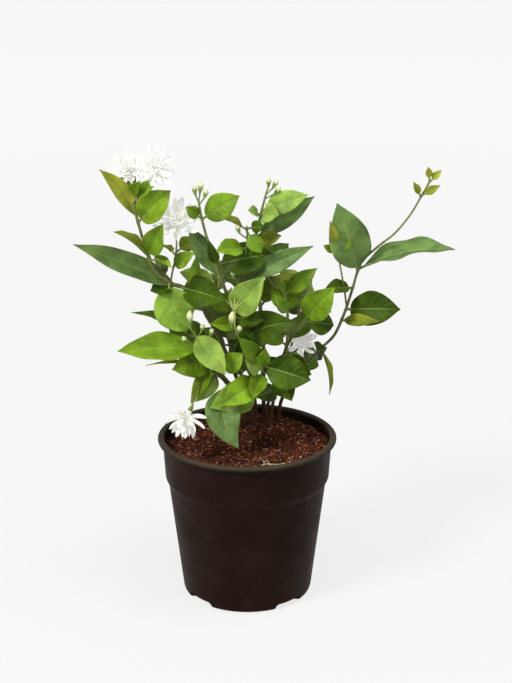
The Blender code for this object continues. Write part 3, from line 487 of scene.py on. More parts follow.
def placed_midline(base, leaf, corners):
    """The leaf's midline with its tip where the leaf's solid ends."""

    def misfit(line):
        point, across, up = line.at(1.0)
        ends = [
            point + across * (side * TIP_HALF) + up * (TIP_HALF * leaf.fold + layer * BLADE / 2)
            for side in (-1, 1) for layer in (-1, 1)
        ]
        return sum(corners.find(end)[2] for end in ends)

    lines = [Midline(base, Vector(leaf.tip) + Vector(nudge), leaf) for nudge in NUDGES]
    return min(lines, key=misfit)


def round_rings(route, radii, sides):
    """Round sections of these radii along a route."""
    rings = []
    across = None
    for i, point in enumerate(route):
        along = (route[min(i + 1, len(route) - 1)] - route[max(i - 1, 0)]).normalized()
        if across is None:
            across = along.orthogonal().normalized()
        else:
            across = (across - along * across.dot(along)).normalized()
        up = across.cross(along)
        turns = (FULL_TURN * k / sides for k in range(sides))
        rings.append([point + (across * math.cos(a) + up * math.sin(a)) * radii[i] for a in turns])
    return rings


def spoke(toward, turn):
    """A direction square to an axis, turned round it."""
    return Matrix.Rotation(turn, 3, toward) @ toward.orthogonal().normalized()


def border(rows):
    """The points round the edge of a grid, in order."""
    far_side = [row[-1] for row in rows[-2::-1]]
    return [row[0] for row in rows] + rows[-1][1:] + far_side + rows[0][-2:0:-1]


def shaded(colour, factor):
    return tuple(c * factor for c in colour)


def blended(a, b, share):
    return tuple(x + (y - x) * share for x, y in zip(a, b))


def linked(name, data):
    """A new object of the scene, made of a mesh, a camera or a light."""
    made = bpy.data.objects.new(name, data)
    bpy.context.scene.collection.objects.link(made)
    return made


class Skin:
    """Collects one piece: its faces, each with its material, and its points, each with its
    place on the blade and its colour."""

    def __init__(self):
        self.points, self.places, self.colours = [], [], []
        self.faces, self.finishes = [], []

    def add(self, point, colour, place=(0.0, 0.0)):
        self.points.append(point * MM)
        self.colours.append((*colour, 1.0))
        self.places.append(place)
        return len(self.points) - 1

    def face(self, corners, finish):
        self.faces.append(corners)
        self.finishes.append(finish)

    def grid(self, rows, finish, closed=False, flip=False):
        """Faces between rows of points, where a closed row joins its own ends."""
        for low, high in zip(rows, rows[1:]):
            count = len(low)
            for i in range(count if closed else count - 1):
                j = (i + 1) % count
                corners = (low[i], low[j], high[j], high[i])
                self.face(corners[::-1] if flip else corners, finish)

    def sheet(self, upper, lower, finish, flip=False):
        """A thin closed body between two grids of points."""
        self.grid(upper, finish, flip=flip)
        self.grid(lower, finish, flip=not flip)
        self.grid([border(upper), border(lower)], finish, closed=True, flip=not flip)

    def body(self, rings, finish):
        """A closed body over rings of points."""
        self.grid(rings, finish, closed=True)
        self.face(rings[0][::-1], finish)
        self.face(rings[-1], finish)

    def tube(self, route, radii, sides, colours, finish=0):
        """A closed round body along a route. One colour may stand for that of each section."""
        if isinstance(colours, tuple):
            colours = [colours] * len(route)
        last = len(route) - 1
        rings = []
        for k, ring in enumerate(round_rings(route, radii, sides)):
            rings.append([self.add(p, colours[k], (k / last, i / sides)) for i, p in enumerate(ring)])
        self.body(rings, finish)

    def made(self, name, finishes):
        """The piece, smooth, with its materials, its blade places as UVs and its colours."""
        mesh = bpy.data.meshes.new(name)
        mesh.from_pydata(self.points, [], self.faces)
        for finish in finishes:
            mesh.materials.append(finish)
        mesh.polygons.foreach_set("material_index", self.finishes)
        mesh.polygons.foreach_set("use_smooth", [True] * len(self.faces))
        tint = mesh.color_attributes.new("tint", "FLOAT_COLOR", "POINT")
        tint.data.foreach_set("color", [c for colour in self.colours for c in colour])
        layer = mesh.uv_layers.new(name="blade")
        places = [self.places[loop.vertex_index] for loop in mesh.loops]
        layer.data.foreach_set("uv", [c for place in places for c in place])
        mesh.update()
        bm = bmesh.new()
        bm.from_mesh(mesh)
        bmesh.ops.recalc_face_normals(bm, faces=bm.faces)
        bm.to_mesh(mesh)
        bm.free()
        return linked(name, mesh)


# The plant's pieces; each adds to a skin, with LEAF, CANE and BUD as its materials

LEAF, CANE, BUD = range(3)


def vein_phase(u, s):
    """Which side vein is near, counted along the midrib; a vein bends towards the tip."""
    return (u - VEIN_BEND * abs(s) ** VEIN_CURVE) * VEINS_ALONG + FIRST_VEIN


def add_leaf(skin, line, leaf, rng):
    """A blade with a sunken midrib, puffed between its side veins and waved at its edge. One
    half of it is lit by painted light and the other darkened by painted shade, and painted shade
    darkens most blades towards the base and a few a little towards the tip."""
    rows, columns = next(counts for width, *counts in LEAF_ROWS if leaf.width >= width)
    # A bright tone carries painted light, a dark tone painted shade and a blue tone a painted sheen.
    top_colour = shaded(TONES[leaf.tone], rng.uniform(0.9, 1.12))
    under_colour = blended(top_colour, UNDERSIDE, 0.55)
    phase, waves = rng.uniform(0, FULL_TURN), rng.uniform(1.6, 2.6)
    # Painted light on one half of the blade and painted shade on the other; painted shade also darkens most
    # blades towards the base.
    half_painted_light = rng.choice((-1, 1)) * rng.uniform(0.06, 0.17)
    painted_shade_along = rng.uniform(-0.08, 0.26)
    upper, lower = [], []
    for k in range(rows + 1):
        u = k / rows
        point, across, up = line.at(line.start + (1 - line.start) * u)
        half = max(leaf.width / 2 * blade_share(u, line.broad), BLADE_END)
        ease = math.sin(math.pi * min(1.0, u * 1.08)) ** 0.5
        upper.append([])
        lower.append([])
        for i in range(columns + 1):
            place = (u, i / columns)
            s = 2 * i / columns - 1
            away = abs(s)
            wave = math.sin(FULL_TURN * waves * u + phase * (1 if s > 0 else 2))
            bend = half * leaf.fold * away**FOLD_CURVE + EDGE_WAVE * leaf.width * away**3 * wave * ease
            puff = PUFF * (0.5 - 0.5 * math.cos(FULL_TURN * vein_phase(u, s)))
            puff *= min(1.0, half / 8) * (1 - away**4) * min(1, away * 6)
            groove = -GROOVE * math.exp(-((away * half / GROOVE_HALF) ** 2)) * min(1.0, half / 4)
            half_thick = (BLADE_EDGE + BLADE_SWELL * (1 - away**2)) / 2
            spot = point + across * (half * s)
            # The colour carries the painted light and painted shade of the halves and along the blade.
            colour = shaded(top_colour, 1 + half_painted_light * math.tanh(4 * s) + painted_shade_along * (u - 0.5))
            top, bottom = bend + puff + groove + half_thick, bend + puff * UNDER_PUFF - half_thick
            upper[-1].append(skin.add(spot + up * top, colour, place))
            lower[-1].append(skin.add(spot + up * bottom, under_colour, place))
    skin.sheet(upper, lower, LEAF, flip=True)
    add_stalk(skin, line, leaf, top_colour)


def add_stalk(skin, line, leaf, top_colour):
    """The leaf's stalk, which runs on under the blade as its midrib."""
    thick = STALK_THICK[0] + STALK_THICK[1] * leaf.width
    route, radii = [], []
    for k in range(STALK_PARTS + 1):
        t = k / STALK_PARTS * MIDRIB_END
        point, _, up = line.at(t)
        beyond = max(0.0, (t - line.start) / (1 - line.start))
        radius = thick * (1 - STALK_TAPER * beyond)
        route.append(point - up * (radius * 0.8 * min(1.0, beyond * 8)))
        radii.append(radius)
    skin.tube(route, radii, 8, shaded(blended(top_colour, STALK_GREEN, 0.6), 1.1), CANE)


def cane_colour(height, share):
    """Brown and woody near the soil, green higher up and towards the shoot's end."""
    age = 1 / (1 + math.exp((height - WOODY_BELOW) / BARK_BLEND))
    return blended(YOUNG_CANE, OLD_CANE, max(0.75 * (1 - share), age))


def add_cane(skin, cane, joints, rng):
    """A round cane, thicker where leaves grow from it."""
    route = cane_route(cane, CANE_PARTS)
    share_rough, waves = CANE_ROUGH
    if route[0].z == FOOT_HEIGHT:
        route.insert(1, route[0].lerp(route[1], 0.5))
    radii, colours = [], []
    for i, point in enumerate(route):
        share = i / (len(route) - 1)
        swell = sum(math.exp(-(((point - joint).length / KNOT_REACH) ** 2)) for joint in joints)
        rough = 1 + share_rough * noise.noise(point * waves)
        radius = cane.thick + (cane.thin - cane.thick) * share
        radii.append(radius * (1 + KNOT_SWELL * min(swell, 1.2)) * rough)
        colours.append(shaded(cane_colour(point.z, share), rng.uniform(0.94, 1.06)))
    skin.tube(route, radii, CANE_SIDES, colours, CANE)


def add_teeth(skin, foot, toward, count, root_radius, length, lean, colour, rng):
    """Slim teeth round the top of a calyx."""
    for k in range(count):
        out = spoke(toward, FULL_TURN * (k + rng.uniform(-0.2, 0.2)) / count)
        reach = length * rng.uniform(0.8, 1.05)
        root = foot + out * root_radius
        middle = root + toward * reach * 0.5 + out * reach * lean * 0.3
        end = root + toward * reach * 0.88 + out * reach * lean
        skin.tube(bent_route(root, middle, end, 4), TOOTH_RADII, 5, colour, CANE)


def add_calyx(skin, end, toward, rng):
    """The green cup that holds a bloom's tube, with its slim teeth."""
    green = shaded(STALK_GREEN, 1.1)
    route = [end + toward * (CALYX_LENGTH * place) for place, _ in CALYX_PROFILE]
    skin.tube(route, [CALYX_RADIUS * wide for _, wide in CALYX_PROFILE], 12, green, CANE)
    root = end + toward * (CALYX_LENGTH - 0.9)
    tooth_green = shaded(green, 1.15)
    add_teeth(skin, root, toward, CALYX_TEETH, CALYX_RADIUS - 0.35, TOOTH_LENGTH, 0.45, tooth_green, rng)


def add_bud(skin, bud, start, rng):
    """A stalk, a toothed calyx and a closed bud of petals wound round each other."""
    foot, tip = Vector(bud.foot), Vector(bud.tip)
    length = (tip - foot).length
    toward = (tip - foot).normalized()
    ripe = min(1.0, max(0.0, (length - 3) / 5))
    green = blended(STALK_GREEN, BUD_GREEN, 0.4)
    bend = start.lerp(foot, 0.5) + Vector((0, 0, -BUD_STALK_DIP))
    skin.tube(bent_route(start, bend, foot, 5), BUD_STALK_RADII, 8, green, CANE)
    cup = [foot.lerp(tip, place) for place, _ in BUD_CUP]
    skin.tube(cup, [radius for _, radius in BUD_CUP], 10, green, CANE)
    add_teeth(skin, cup[2], toward, BUD_TEETH, 0.85, 1.6 + 0.35 * length, 0.35, shaded(green, 1.3), rng)
    rings = []
    for place, wide in BUD_PROFILE:
        centre = foot.lerp(tip, place)
        colour = blended(BUD_GREEN, BUD_CREAM, ripe * min(1.0, place * 1.5))
        rings.append([])
        for i in range(BUD_SIDES):
            turn = FULL_TURN * i / BUD_SIDES
            wound = 1 + BUD_WOUND * math.cos(BUD_PETALS * (turn + place)) * min(1.0, 4 * (place - 0.3))
            spot = centre + spoke(toward, turn) * (max(bud.width / 2 * wide, 0.3) * wound)
            # The colour is a little darker where the wound petals dip in: painted shade in the grooves
            # between them.
            rings[-1].append(skin.add(spot, shaded(colour, 0.8 + 0.2 * wound), (place, i / BUD_SIDES)))
    skin.body(rings, BUD)


def add_spent_calyx(skin, rng):
    """A thin stalk that ends in the long teeth of a calyx."""
    start, bend, end = map(Vector, SPENT_CALYX[1])
    green = blended(STALK_GREEN, SPENT_GREEN, 0.5)
    skin.tube(bent_route(start, bend, end, 6), SPENT_RADII, 8, green, CANE)
    toward = (end - bend).normalized()
    add_teeth(skin, end - toward * 0.3, toward, CALYX_TEETH, 0.7, SPENT_TOOTH, 0.65, SPENT_GREEN, rng)


def petal_share(u):
    """Half the petal's width at this share of its length, from narrow foot to pointed end."""
    return (0.3 + 0.95 * u**0.8) * (1 - u**2.6) ** 0.75 + 0.04


def add_petal(skin, heart, toward, turn, lean, length, width, rng):
    """A thin cupped petal with a narrow foot and a pointed, slightly curled tip."""
    out = spoke(toward, turn)
    way = toward * math.cos(lean) + out * math.sin(lean)
    side = toward.cross(out)
    lift = side.cross(way)
    curl, cup, twist = rng.uniform(-0.14, 0.10), rng.uniform(0.16, 0.34), rng.uniform(-0.35, 0.35)
    upper, lower = [], []
    for k in range(PETAL_ROWS + 1):
        u = k / PETAL_ROWS
        middle = heart + way * (length * u) + lift * (length * (0.4 * u * (1 - u) + curl * u**3))
        half = width / 2 * petal_share(u)
        colour = blended(PETAL_FOOT, PETAL_WHITE, min(1.0, 0.35 + 3.2 * u))
        spread = side * math.cos(twist * u) + lift * math.sin(twist * u)
        upper.append([])
        lower.append([])
        for i in range(PETAL_COLUMNS + 1):
            place = (u, i / PETAL_COLUMNS)
            s = 2 * i / PETAL_COLUMNS - 1
            spot = middle + spread * (half * s) + lift * (cup * half * s * s)
            upper[-1].append(skin.add(spot + lift * PETAL_THICK / 2, colour, place))
            lower[-1].append(skin.add(spot - lift * PETAL_THICK / 2, colour, place))
    skin.sheet(upper, lower, 0)


def bloom_axis(bloom):
    """The end of the bloom's cane and the way that the bloom looks."""
    return Vector(STEMS[bloom.stem].canes[bloom.cane].points[-1]), Vector(bloom.toward).normalized()


def bloom_skin(bloom, rng):
    """The tube, a small heart and the petals in their layers."""
    skin = Skin()
    end, toward = bloom_axis(bloom)
    foot = end + toward * (CALYX_LENGTH + GAP)
    heart = foot + toward * (TUBE_LENGTH - CALYX_LENGTH)
    reach = (heart - foot).length
    route = [foot + toward * (reach * place) for place, _ in TUBE_PROFILE]
    colours = [blended(PETAL_FOOT, PETAL_WHITE, 0.45 + 0.4 * place) for place, _ in TUBE_PROFILE]
    skin.tube(route, [TUBE_RADIUS * wide for _, wide in TUBE_PROFILE], 16, colours)
    for layer, (count, length, width, tilt, step) in enumerate(PETAL_LAYERS):
        root = heart + toward * step
        for k in range(count):
            share = (k + 0.5 * layer + rng.uniform(-0.12, 0.12)) / count
            turn = math.radians(bloom.turn) + FULL_TURN * share
            lean = math.radians(tilt + rng.uniform(-10, 10))
            size = bloom.size * length * rng.uniform(0.84, 1.08)
            add_petal(skin, root, toward, turn, lean, size, bloom.size * width, rng)
    return skin


def stem_skin(name, rng):
    """Everything green of one stem: its canes, leaves, buds and calyces."""
    stem = STEMS[name]
    skin = Skin()
    routes = [cane_route(cane) for cane in stem.canes]
    corners = corner_tree(name)
    joints = [[] for _ in stem.canes]
    for row in stem.leaves:
        leaf = Leaf(*row)
        base = at_height(routes[leaf.cane], leaf.height)
        joints[leaf.cane].append(base)
        add_leaf(skin, placed_midline(base, leaf, corners), leaf, rng)
    for cane, knots in zip(stem.canes, joints):
        add_cane(skin, cane, knots, rng)
    for row in stem.buds:
        bud = Bud(*row)
        add_bud(skin, bud, at_height(routes[bud.cane], bud.height), rng)
    for bloom in BLOOMS.values():
        if bloom.stem == name:
            add_calyx(skin, *bloom_axis(bloom), rng)
    if name == SPENT_CALYX[0]:
        add_spent_calyx(skin, rng)
    return skin


# The pot

def wall_outside():
    """The pot's outer side from under the lip to the ground, as radius and height."""
    band_foot = BAND_RADIUS - BAND_TAPER
    slope = (band_foot - STEP_IN - BASE_RADIUS) / (BAND_FOOT - STEP_HEIGHT)
    return [
        (BAND_RADIUS, RIM_HEIGHT - LIP_HEIGHT),
        (band_foot, BAND_FOOT),
        (band_foot - STEP_IN, BAND_FOOT - STEP_HEIGHT),
        (BASE_RADIUS + slope * CURVE_TOP, CURVE_TOP),
    ] + [(BASE_RADIUS - inward, z) for inward, z in FOOT_CURVE]


def inner_radius(z):
    """The radius of the pot's inner wall at a height."""
    outside = wall_outside()
    for (r_high, high), (r_low, low) in zip(outside, outside[1:]):
        if low <= z <= high:
            return r_low + (r_high - r_low) * (z - low) / (high - low) - WALL
    return BAND_RADIUS - WALL


def rounded(profile, radius):
    """The profile with each corner between long sides turned into a small curve."""
    points = [Vector(p) for p in profile]
    out = [points[0]]
    for before, corner, after in zip(points, points[1:], points[2:]):
        reach = min(radius, (corner - before).length * 0.45, (after - corner).length * 0.45)
        a = corner + (before - corner).normalized() * reach
        b = corner + (after - corner).normalized() * reach
        out += bent_route(a, corner, b, 4)
    out.append(points[-1])
    return out


def meshed(name, bm):
    """A new object of the scene from a finished bmesh."""
    mesh = bpy.data.meshes.new(name)
    bm.to_mesh(mesh)
    bm.free()
    return linked(name, mesh)


def applied(obj):
    """Bakes the object's modifiers into its mesh."""
    graph = bpy.context.evaluated_depsgraph_get()
    mesh = bpy.data.meshes.new_from_object(obj.evaluated_get(graph))
    obj.modifiers.clear()
    obj.data = mesh


def turned_wall():
    """The pot without its holes: the profile of its wall, turned round its axis."""
    lip = [(BAND_RADIUS - WALL + out, RIM_HEIGHT - down) for out, down in LIP_INSIDE]
    lip += [(RIM_RADIUS - inward, RIM_HEIGHT - down) for inward, down in LIP_OUTSIDE]
    inside = [(r - WALL, z) for r, z in wall_outside()[1:4]]
    floor = [(0.0, WALL), (inner_radius(CURVE_TOP) - FLOOR_EDGE, WALL)]
    profile = rounded(lip + wall_outside() + [(0.0, 0.0)], LIP_ROUND)
    profile += rounded(floor + inside[::-1] + [lip[0]], INNER_ROUND)[:-1]
    bm = bmesh.new()
    verts = [bm.verts.new((p.x * MM, 0, p.y * MM)) for p in profile]
    for a, b in zip(verts, verts[1:] + verts[:1]):
        if a.co.x or b.co.x:
            bm.edges.new((a, b))
    pot = meshed("nursery_pot", bm)
    screw = pot.modifiers.new("turn", "SCREW")
    screw.steps = screw.render_steps = POT_STEPS
    screw.use_merge_vertices = True
    screw.merge_threshold = 0.00005
    applied(pot)
    return pot


def slot_cutter():
    """A block with round edges for one cut-out at the pot's foot."""
    bm = bmesh.new()
    bmesh.ops.create_cube(bm, size=1.0)
    deep, wide, high = SLOT_SIZE
    bmesh.ops.scale(bm, vec=(deep * MM, wide * MM, 2 * high * MM), verts=bm.verts)
    bmesh.ops.translate(bm, vec=(BASE_RADIUS * MM, 0, 0), verts=bm.verts)
    bmesh.ops.bevel(bm, geom=bm.edges, offset=SLOT_ROUND * MM, segments=8, profile=0.5, affect="EDGES")
    return meshed("slot", bm)


def drain_cutter():
    """A round bar for one drain hole."""
    bm = bmesh.new()
    radius = DRAIN_RADIUS * MM
    bmesh.ops.create_cone(
        bm, cap_ends=True, segments=40, radius1=radius, radius2=radius, depth=4 * WALL * MM)
    bmesh.ops.translate(bm, vec=(DRAIN_CIRCLE * MM, 0, 0), verts=bm.verts)
    return meshed("drain", bm)


def make_pot(finish):
    """The moulded pot: rolled lip, band with its step, tapered wall, slots and drain holes."""
    pot = turned_wall()
    for angle in SLOT_ANGLES:
        for hole in (slot_cutter(), drain_cutter()):
            hole.matrix_world = Matrix.Rotation(math.radians(angle), 4, "Z")
            modifier = pot.modifiers.new("cut", "BOOLEAN")
            modifier.operation = "DIFFERENCE"
            modifier.object = hole
            applied(pot)
            bpy.data.objects.remove(hole)
    welded = bmesh.new()
    welded.from_mesh(pot.data)
    bmesh.ops.remove_doubles(welded, verts=welded.verts, dist=WELD * MM)
    bmesh.ops.dissolve_degenerate(welded, edges=welded.edges, dist=WELD * MM)
    welded.to_mesh(pot.data)
    welded.free()
    pot.data.shade_smooth()
    pot.data.set_sharp_from_angle(angle=math.radians(SHARP_FROM))
    pot.data.materials.clear()
    pot.data.materials.append(finish)
    return pot


# The soil: a crumbly filling, with perlite, crumbs and fibres on it

def soil_height(x, y):
    """The height of the soil's top, with a mound round the stems, its clods and its grains."""
    away = math.hypot(x - MOUND_AT[0], y - MOUND_AT[1])
    mound = SOIL_MOUND * math.exp(-((away / MOUND_REACH) ** 2))
    waves = sum(high * math.sin(wave_x * x + wave_y * y) for high, wave_x, wave_y in SOIL_WAVES)
    spot = Vector((x, y, 3.0))
    bumps = sum(high * noise.noise(spot * scale) for high, scale in SOIL_BUMPS)
    cells = sum(high * (0.5 - noise.voronoi(spot * scale)[0][0]) for high, scale in SOIL_CELLS)
    return SOIL_EDGE_HEIGHT + mound + waves + bumps + cells


def on_soil(x, y, above=0.0):
    return Vector((x, y, soil_height(x, y) + above))


def make_soil(finish):
    """The filling's walls follow the pot, and its top is rough."""
    skin = Skin()
    low, inward = SOIL_FOOT
    levels = [low, BAND_FOOT - STEP_HEIGHT, BAND_FOOT]
    walls = [(inner_radius(low) - inward, WALL + GAP)] + [(inner_radius(z) - GAP, z) for z in levels]
    edge = inner_radius(SOIL_EDGE_HEIGHT) - GAP
    top = [(edge * (1 - k / SOIL_RINGS), None) for k in range(SOIL_RINGS)]
    untinted = (0.0, 0.0, 0.0)
    rings = []
    for radius, height in walls + top:
        rings.append([])
        for k in range(SOIL_SECTORS):
            turn = FULL_TURN * k / SOIL_SECTORS
            spot = on_soil(radius * math.cos(turn), radius * math.sin(turn))
            if height is not None:
                spot.z = height
            rings[-1].append(skin.add(spot, untinted))
    skin.grid(rings, 0, closed=True)
    middle = skin.add(on_soil(0, 0), untinted)
    for i in range(SOIL_SECTORS):
        skin.face((rings[-1][i], rings[-1][(i + 1) % SOIL_SECTORS], middle), 0)
    skin.face(rings[0][::-1], 0)
    return skin.made("soil_filling", [finish])


def soil_spot(rng, margin=SPOT_MARGIN):
    """A random place on the soil, this far inside the pot's wall."""
    radius = (inner_radius(SOIL_EDGE_HEIGHT) - margin) * math.sqrt(rng.random())
    turn = rng.uniform(0, FULL_TURN)
    return on_soil(radius * math.cos(turn), radius * math.sin(turn))


def add_chip(skin, spot, size, lifted, flat, colour, rng):
    """A small rough lump with uneven sides, partly sunk in the soil."""
    centre = spot + Vector((0, 0, size * lifted))
    stretch = Vector((rng.uniform(0.75, 1.3), rng.uniform(0.75, 1.3), rng.uniform(0.8, 1.1) * flat))
    angle = rng.uniform(0, math.pi)
    axis = Vector([rng.uniform(-1, 1) for _ in range(3)]).normalized()
    turn = Matrix.Rotation(angle, 3, axis)
    bm = bmesh.new()
    bmesh.ops.create_icosphere(bm, subdivisions=1, radius=1.0)
    index = {}
    for vert in bm.verts:
        rough = rng.uniform(0.72, 1.12)
        away = Vector([c * s for c, s in zip(turn @ vert.co, stretch)])
        index[vert] = skin.add(centre + away * (size * rough), colour)
    for face in bm.faces:
        skin.face(tuple(index[vert] for vert in face.verts), 0)
    bm.free()


def make_perlite(finish):
    """Pale chips, most of them small."""
    rng = random.Random(SEED + 1)
    skin = Skin()
    for _ in range(PERLITE_CHIPS):
        size = rng.choice(PERLITE_SIZES)
        grey = rng.uniform(0.45, 0.85)
        add_chip(skin, soil_spot(rng), size, 0.25, 0.7, (grey, grey * 0.84, grey * 0.72), rng)
    return skin.made("perlite", [finish])


def make_crumbs(finish):
    """Loose lumps of peat and bark."""
    rng = random.Random(SEED + 2)
    skin = Skin()
    for _ in range(CRUMBS):
        size = rng.uniform(*CRUMB_SIZES)
        spot = soil_spot(rng)
        add_chip(skin, spot, size, 0.2, 0.8, rng.choice(CRUMB_COLOURS), rng)
    return skin.made("soil_crumbs", [finish])


def make_fibres(finish):
    """Thin roots and fibres, and the pale dry twig near the front of the rim."""
    rng = random.Random(SEED + 3)
    skin = Skin()
    for _ in range(FIBRES):
        spot = soil_spot(rng, FIBRE_MARGIN)
        turn, bend = rng.uniform(0, FULL_TURN), rng.uniform(-0.6, 0.6)
        length = rng.uniform(2.0, 6.0)
        route = []
        for k in range(FIBRE_PARTS + 1):
            share = k / FIBRE_PARTS
            angle = turn + bend * share
            x = spot.x + math.cos(angle) * length * share
            y = spot.y + math.sin(angle) * length * share
            route.append(on_soil(x, y, 0.25 + 0.35 * math.sin(math.pi * share)))
        colour = shaded(FIBRE_BROWN, rng.uniform(0.5, 1.3))
        skin.tube(route, [FIBRE_THICK] * len(route), 5, colour)
    for points, thick in [(TWIG, TWIG_THICK)] + [(fork, FORK_THICK) for fork in TWIG_FORKS]:
        route = smooth_route([on_soil(x, y, TWIG_ABOVE) for x, y in points], None, 5)
        radii = [thick * (1 - 0.5 * k / len(route)) for k in range(len(route))]
        skin.tube(route, radii, 7, TWIG_PALE)
    return skin.made("dry_twig_and_fibres", [finish])


# Materials

class Finish:
    """One material, with even values on its shader and other nodes that feed it."""

    def __init__(self, name, roughness, **settings):
        self.material = bpy.data.materials.new(name)
        self.material.use_nodes = True
        self.tree = self.material.node_tree
        self.shader = self.tree.nodes["Principled BSDF"]
        self.set("Roughness", roughness)
        for key, value in settings.items():
            self.set(key.replace("_", " "), value)

    def plug(self, socket, value):
        """Gives a socket its value, or links it to the output that feeds it."""
        if isinstance(value, bpy.types.NodeSocket):
            self.tree.links.new(value, socket)
        else:
            socket.default_value = value

    def set(self, name, value):
        self.plug(self.shader.inputs[name], value)

    def node(self, kind, inputs, **settings):
        made = self.tree.nodes.new("ShaderNode" + kind)
        for key, value in settings.items():
            setattr(made, key, value)
        for key, value in inputs.items():
            self.plug(made.inputs[key], value)
        return made

    def maths(self, operation, a, b=0.0, c=0.0):
        return self.node("Math", {0: a, 1: b, 2: c}, operation=operation).outputs[0]

    def step(self, value, low, high, from_value=0.0, to_value=1.0):
        """A smooth change between two outputs while the value goes from low to high."""
        inputs = {"Value": value, "From Min": low, "From Max": high, "To Min": from_value, "To Max": to_value}
        return self.node("MapRange", inputs, interpolation_type="SMOOTHSTEP").outputs["Result"]

    def times(self, a, b):
        return self.maths("MULTIPLY", a, b)

    def mix(self, factor, a, b, kind="MIX"):
        """A blend of two colours, where the factor is the share of the second."""
        return self.node("Mix", {0: factor, 6: a, 7: b}, data_type="RGBA", blend_type=kind).outputs[2]

    def raised(self, factor, colour, added):
        """The colour with a share of another one added to it."""
        return self.mix(factor, colour, self.mix(1.0, colour, (*added, 1), "ADD"))

    def place(self):
        """The place in the object's own space, in metres."""
        return self.node("TexCoord", {}).outputs["Object"]

    def speckle(self, scale, detail=3.0, roughness=0.55):
        """Noise whose scale is in waves a metre."""
        inputs = {"Vector": self.place(), "Scale": scale, "Detail": detail, "Roughness": roughness}
        return self.node("TexNoise", inputs).outputs["Fac"]

    def streaks(self, scales, detail):
        """Noise with its own waves a metre for each direction."""
        stretched = self.node("Mapping", {"Vector": self.place(), "Scale": scales}).outputs["Vector"]
        return self.node("TexNoise", {"Vector": stretched, "Scale": 1.0, "Detail": detail}).outputs["Fac"]

    def tint(self):
        """The colours of the piece's points."""
        return self.node("VertexColor", {}, layer_name="tint").outputs["Color"]

    def toned_tint(self, value):
        """The colours of the piece's points, made lighter or darker."""
        return self.node("HueSaturation", {"Color": self.tint(), "Value": value}).outputs["Color"]

    def blade(self):
        """The place on a blade or petal: along it and across it, each from 0 to 1."""
        return self.node("UVMap", {}, uv_map="blade").outputs["UV"]

    def bump(self, height, distance, strength=1.0, under=None):
        inputs = {"Height": height, "Distance": distance, "Strength": strength}
        if under is not None:
            inputs["Normal"] = under
        return self.node("Bump", inputs).outputs["Normal"]


def leaf_finish():
    """Glossy green with a pale midrib, fine side veins, mottling and a pale margin."""
    leaf = Finish(
        "leaf", 0.42, Subsurface_Weight=0.06, Subsurface_Radius=(0.35, 0.7, 0.12),
        Subsurface_Scale=0.001, Specular_IOR_Level=0.10)
    parts = leaf.node("SeparateXYZ", {0: leaf.blade()})
    away = leaf.maths("ABSOLUTE", leaf.maths("MULTIPLY_ADD", parts.outputs["Y"], 2.0, -1.0))
    bend = leaf.times(leaf.maths("POWER", away, VEIN_CURVE), VEIN_BEND)
    unbent = leaf.maths("SUBTRACT", parts.outputs["X"], bend)
    from_vein = leaf.maths("PINGPONG", leaf.maths("MULTIPLY_ADD", unbent, VEINS_ALONG, FIRST_VEIN), 0.5)
    wobble = leaf.maths("MULTIPLY_ADD", leaf.speckle(420.0), 0.06, -0.03)
    side_vein = leaf.step(leaf.maths("ADD", from_vein, wobble), 0.015, 0.085, 1.0, 0.0)
    side_vein = leaf.times(side_vein, leaf.step(away, 0.75, 0.97, 1.0, 0.0))
    midrib = leaf.step(away, 0.03, 0.085, 1.0, 0.0)
    cells = leaf.node("TexVoronoi", {"Vector": leaf.place(), "Scale": 620.0}, feature="DISTANCE_TO_EDGE")
    net = leaf.step(cells.outputs["Distance"], 0.02, 0.14, 1.0, 0.0)

    colour = leaf.toned_tint(leaf.step(leaf.speckle(95.0, 4.0), 0.32, 0.68, 0.72, 1.24))
    warm = leaf.step(leaf.speckle(38.0, 2.0), 0.35, 0.7, 0.0, 0.35)
    colour = leaf.mix(warm, colour, leaf.mix(1.0, colour, (1.35, 1.05, 0.6, 1), "MULTIPLY"))
    colour = leaf.raised(leaf.times(net, 0.12), colour, (0.03, 0.05, 0.008))
    pale_veins = leaf.times(side_vein, 0.2)
    pale_veins = leaf.maths("MAXIMUM", pale_veins, leaf.times(midrib, 0.55))
    colour = leaf.raised(pale_veins, colour, (0.11, 0.15, 0.035))
    colour = leaf.raised(leaf.step(away, 0.94, 1.0, 0.0, 0.3), colour, (0.08, 0.09, 0.005))
    leaf.set("Base Color", colour)
    leaf.set("Roughness", leaf.step(leaf.speckle(260.0), 0.25, 0.75, 0.30, 0.46))

    relief = leaf.times(side_vein, -0.6)
    relief = leaf.maths("ADD", relief, leaf.times(midrib, -1.0))
    relief = leaf.maths("MULTIPLY_ADD", net, -0.22, relief)
    grain = leaf.bump(leaf.speckle(900.0), 0.00006, 0.5)
    leaf.set("Normal", leaf.bump(relief, 0.00022, 0.8, grain))
    return leaf.material


def cane_finish():
    """Green shoots that turn to ridged brown bark lower down, coloured by the tint."""
    cane = Finish("cane", 0.55, Specular_IOR_Level=0.4)
    ridges = cane.streaks((900.0, 900.0, 160.0), 4.0)
    cane.set("Base Color", cane.toned_tint(cane.step(ridges, 0.3, 0.7, 0.72, 1.3)))
    cane.set("Normal", cane.bump(ridges, 0.0003, 0.6))
    return cane.material


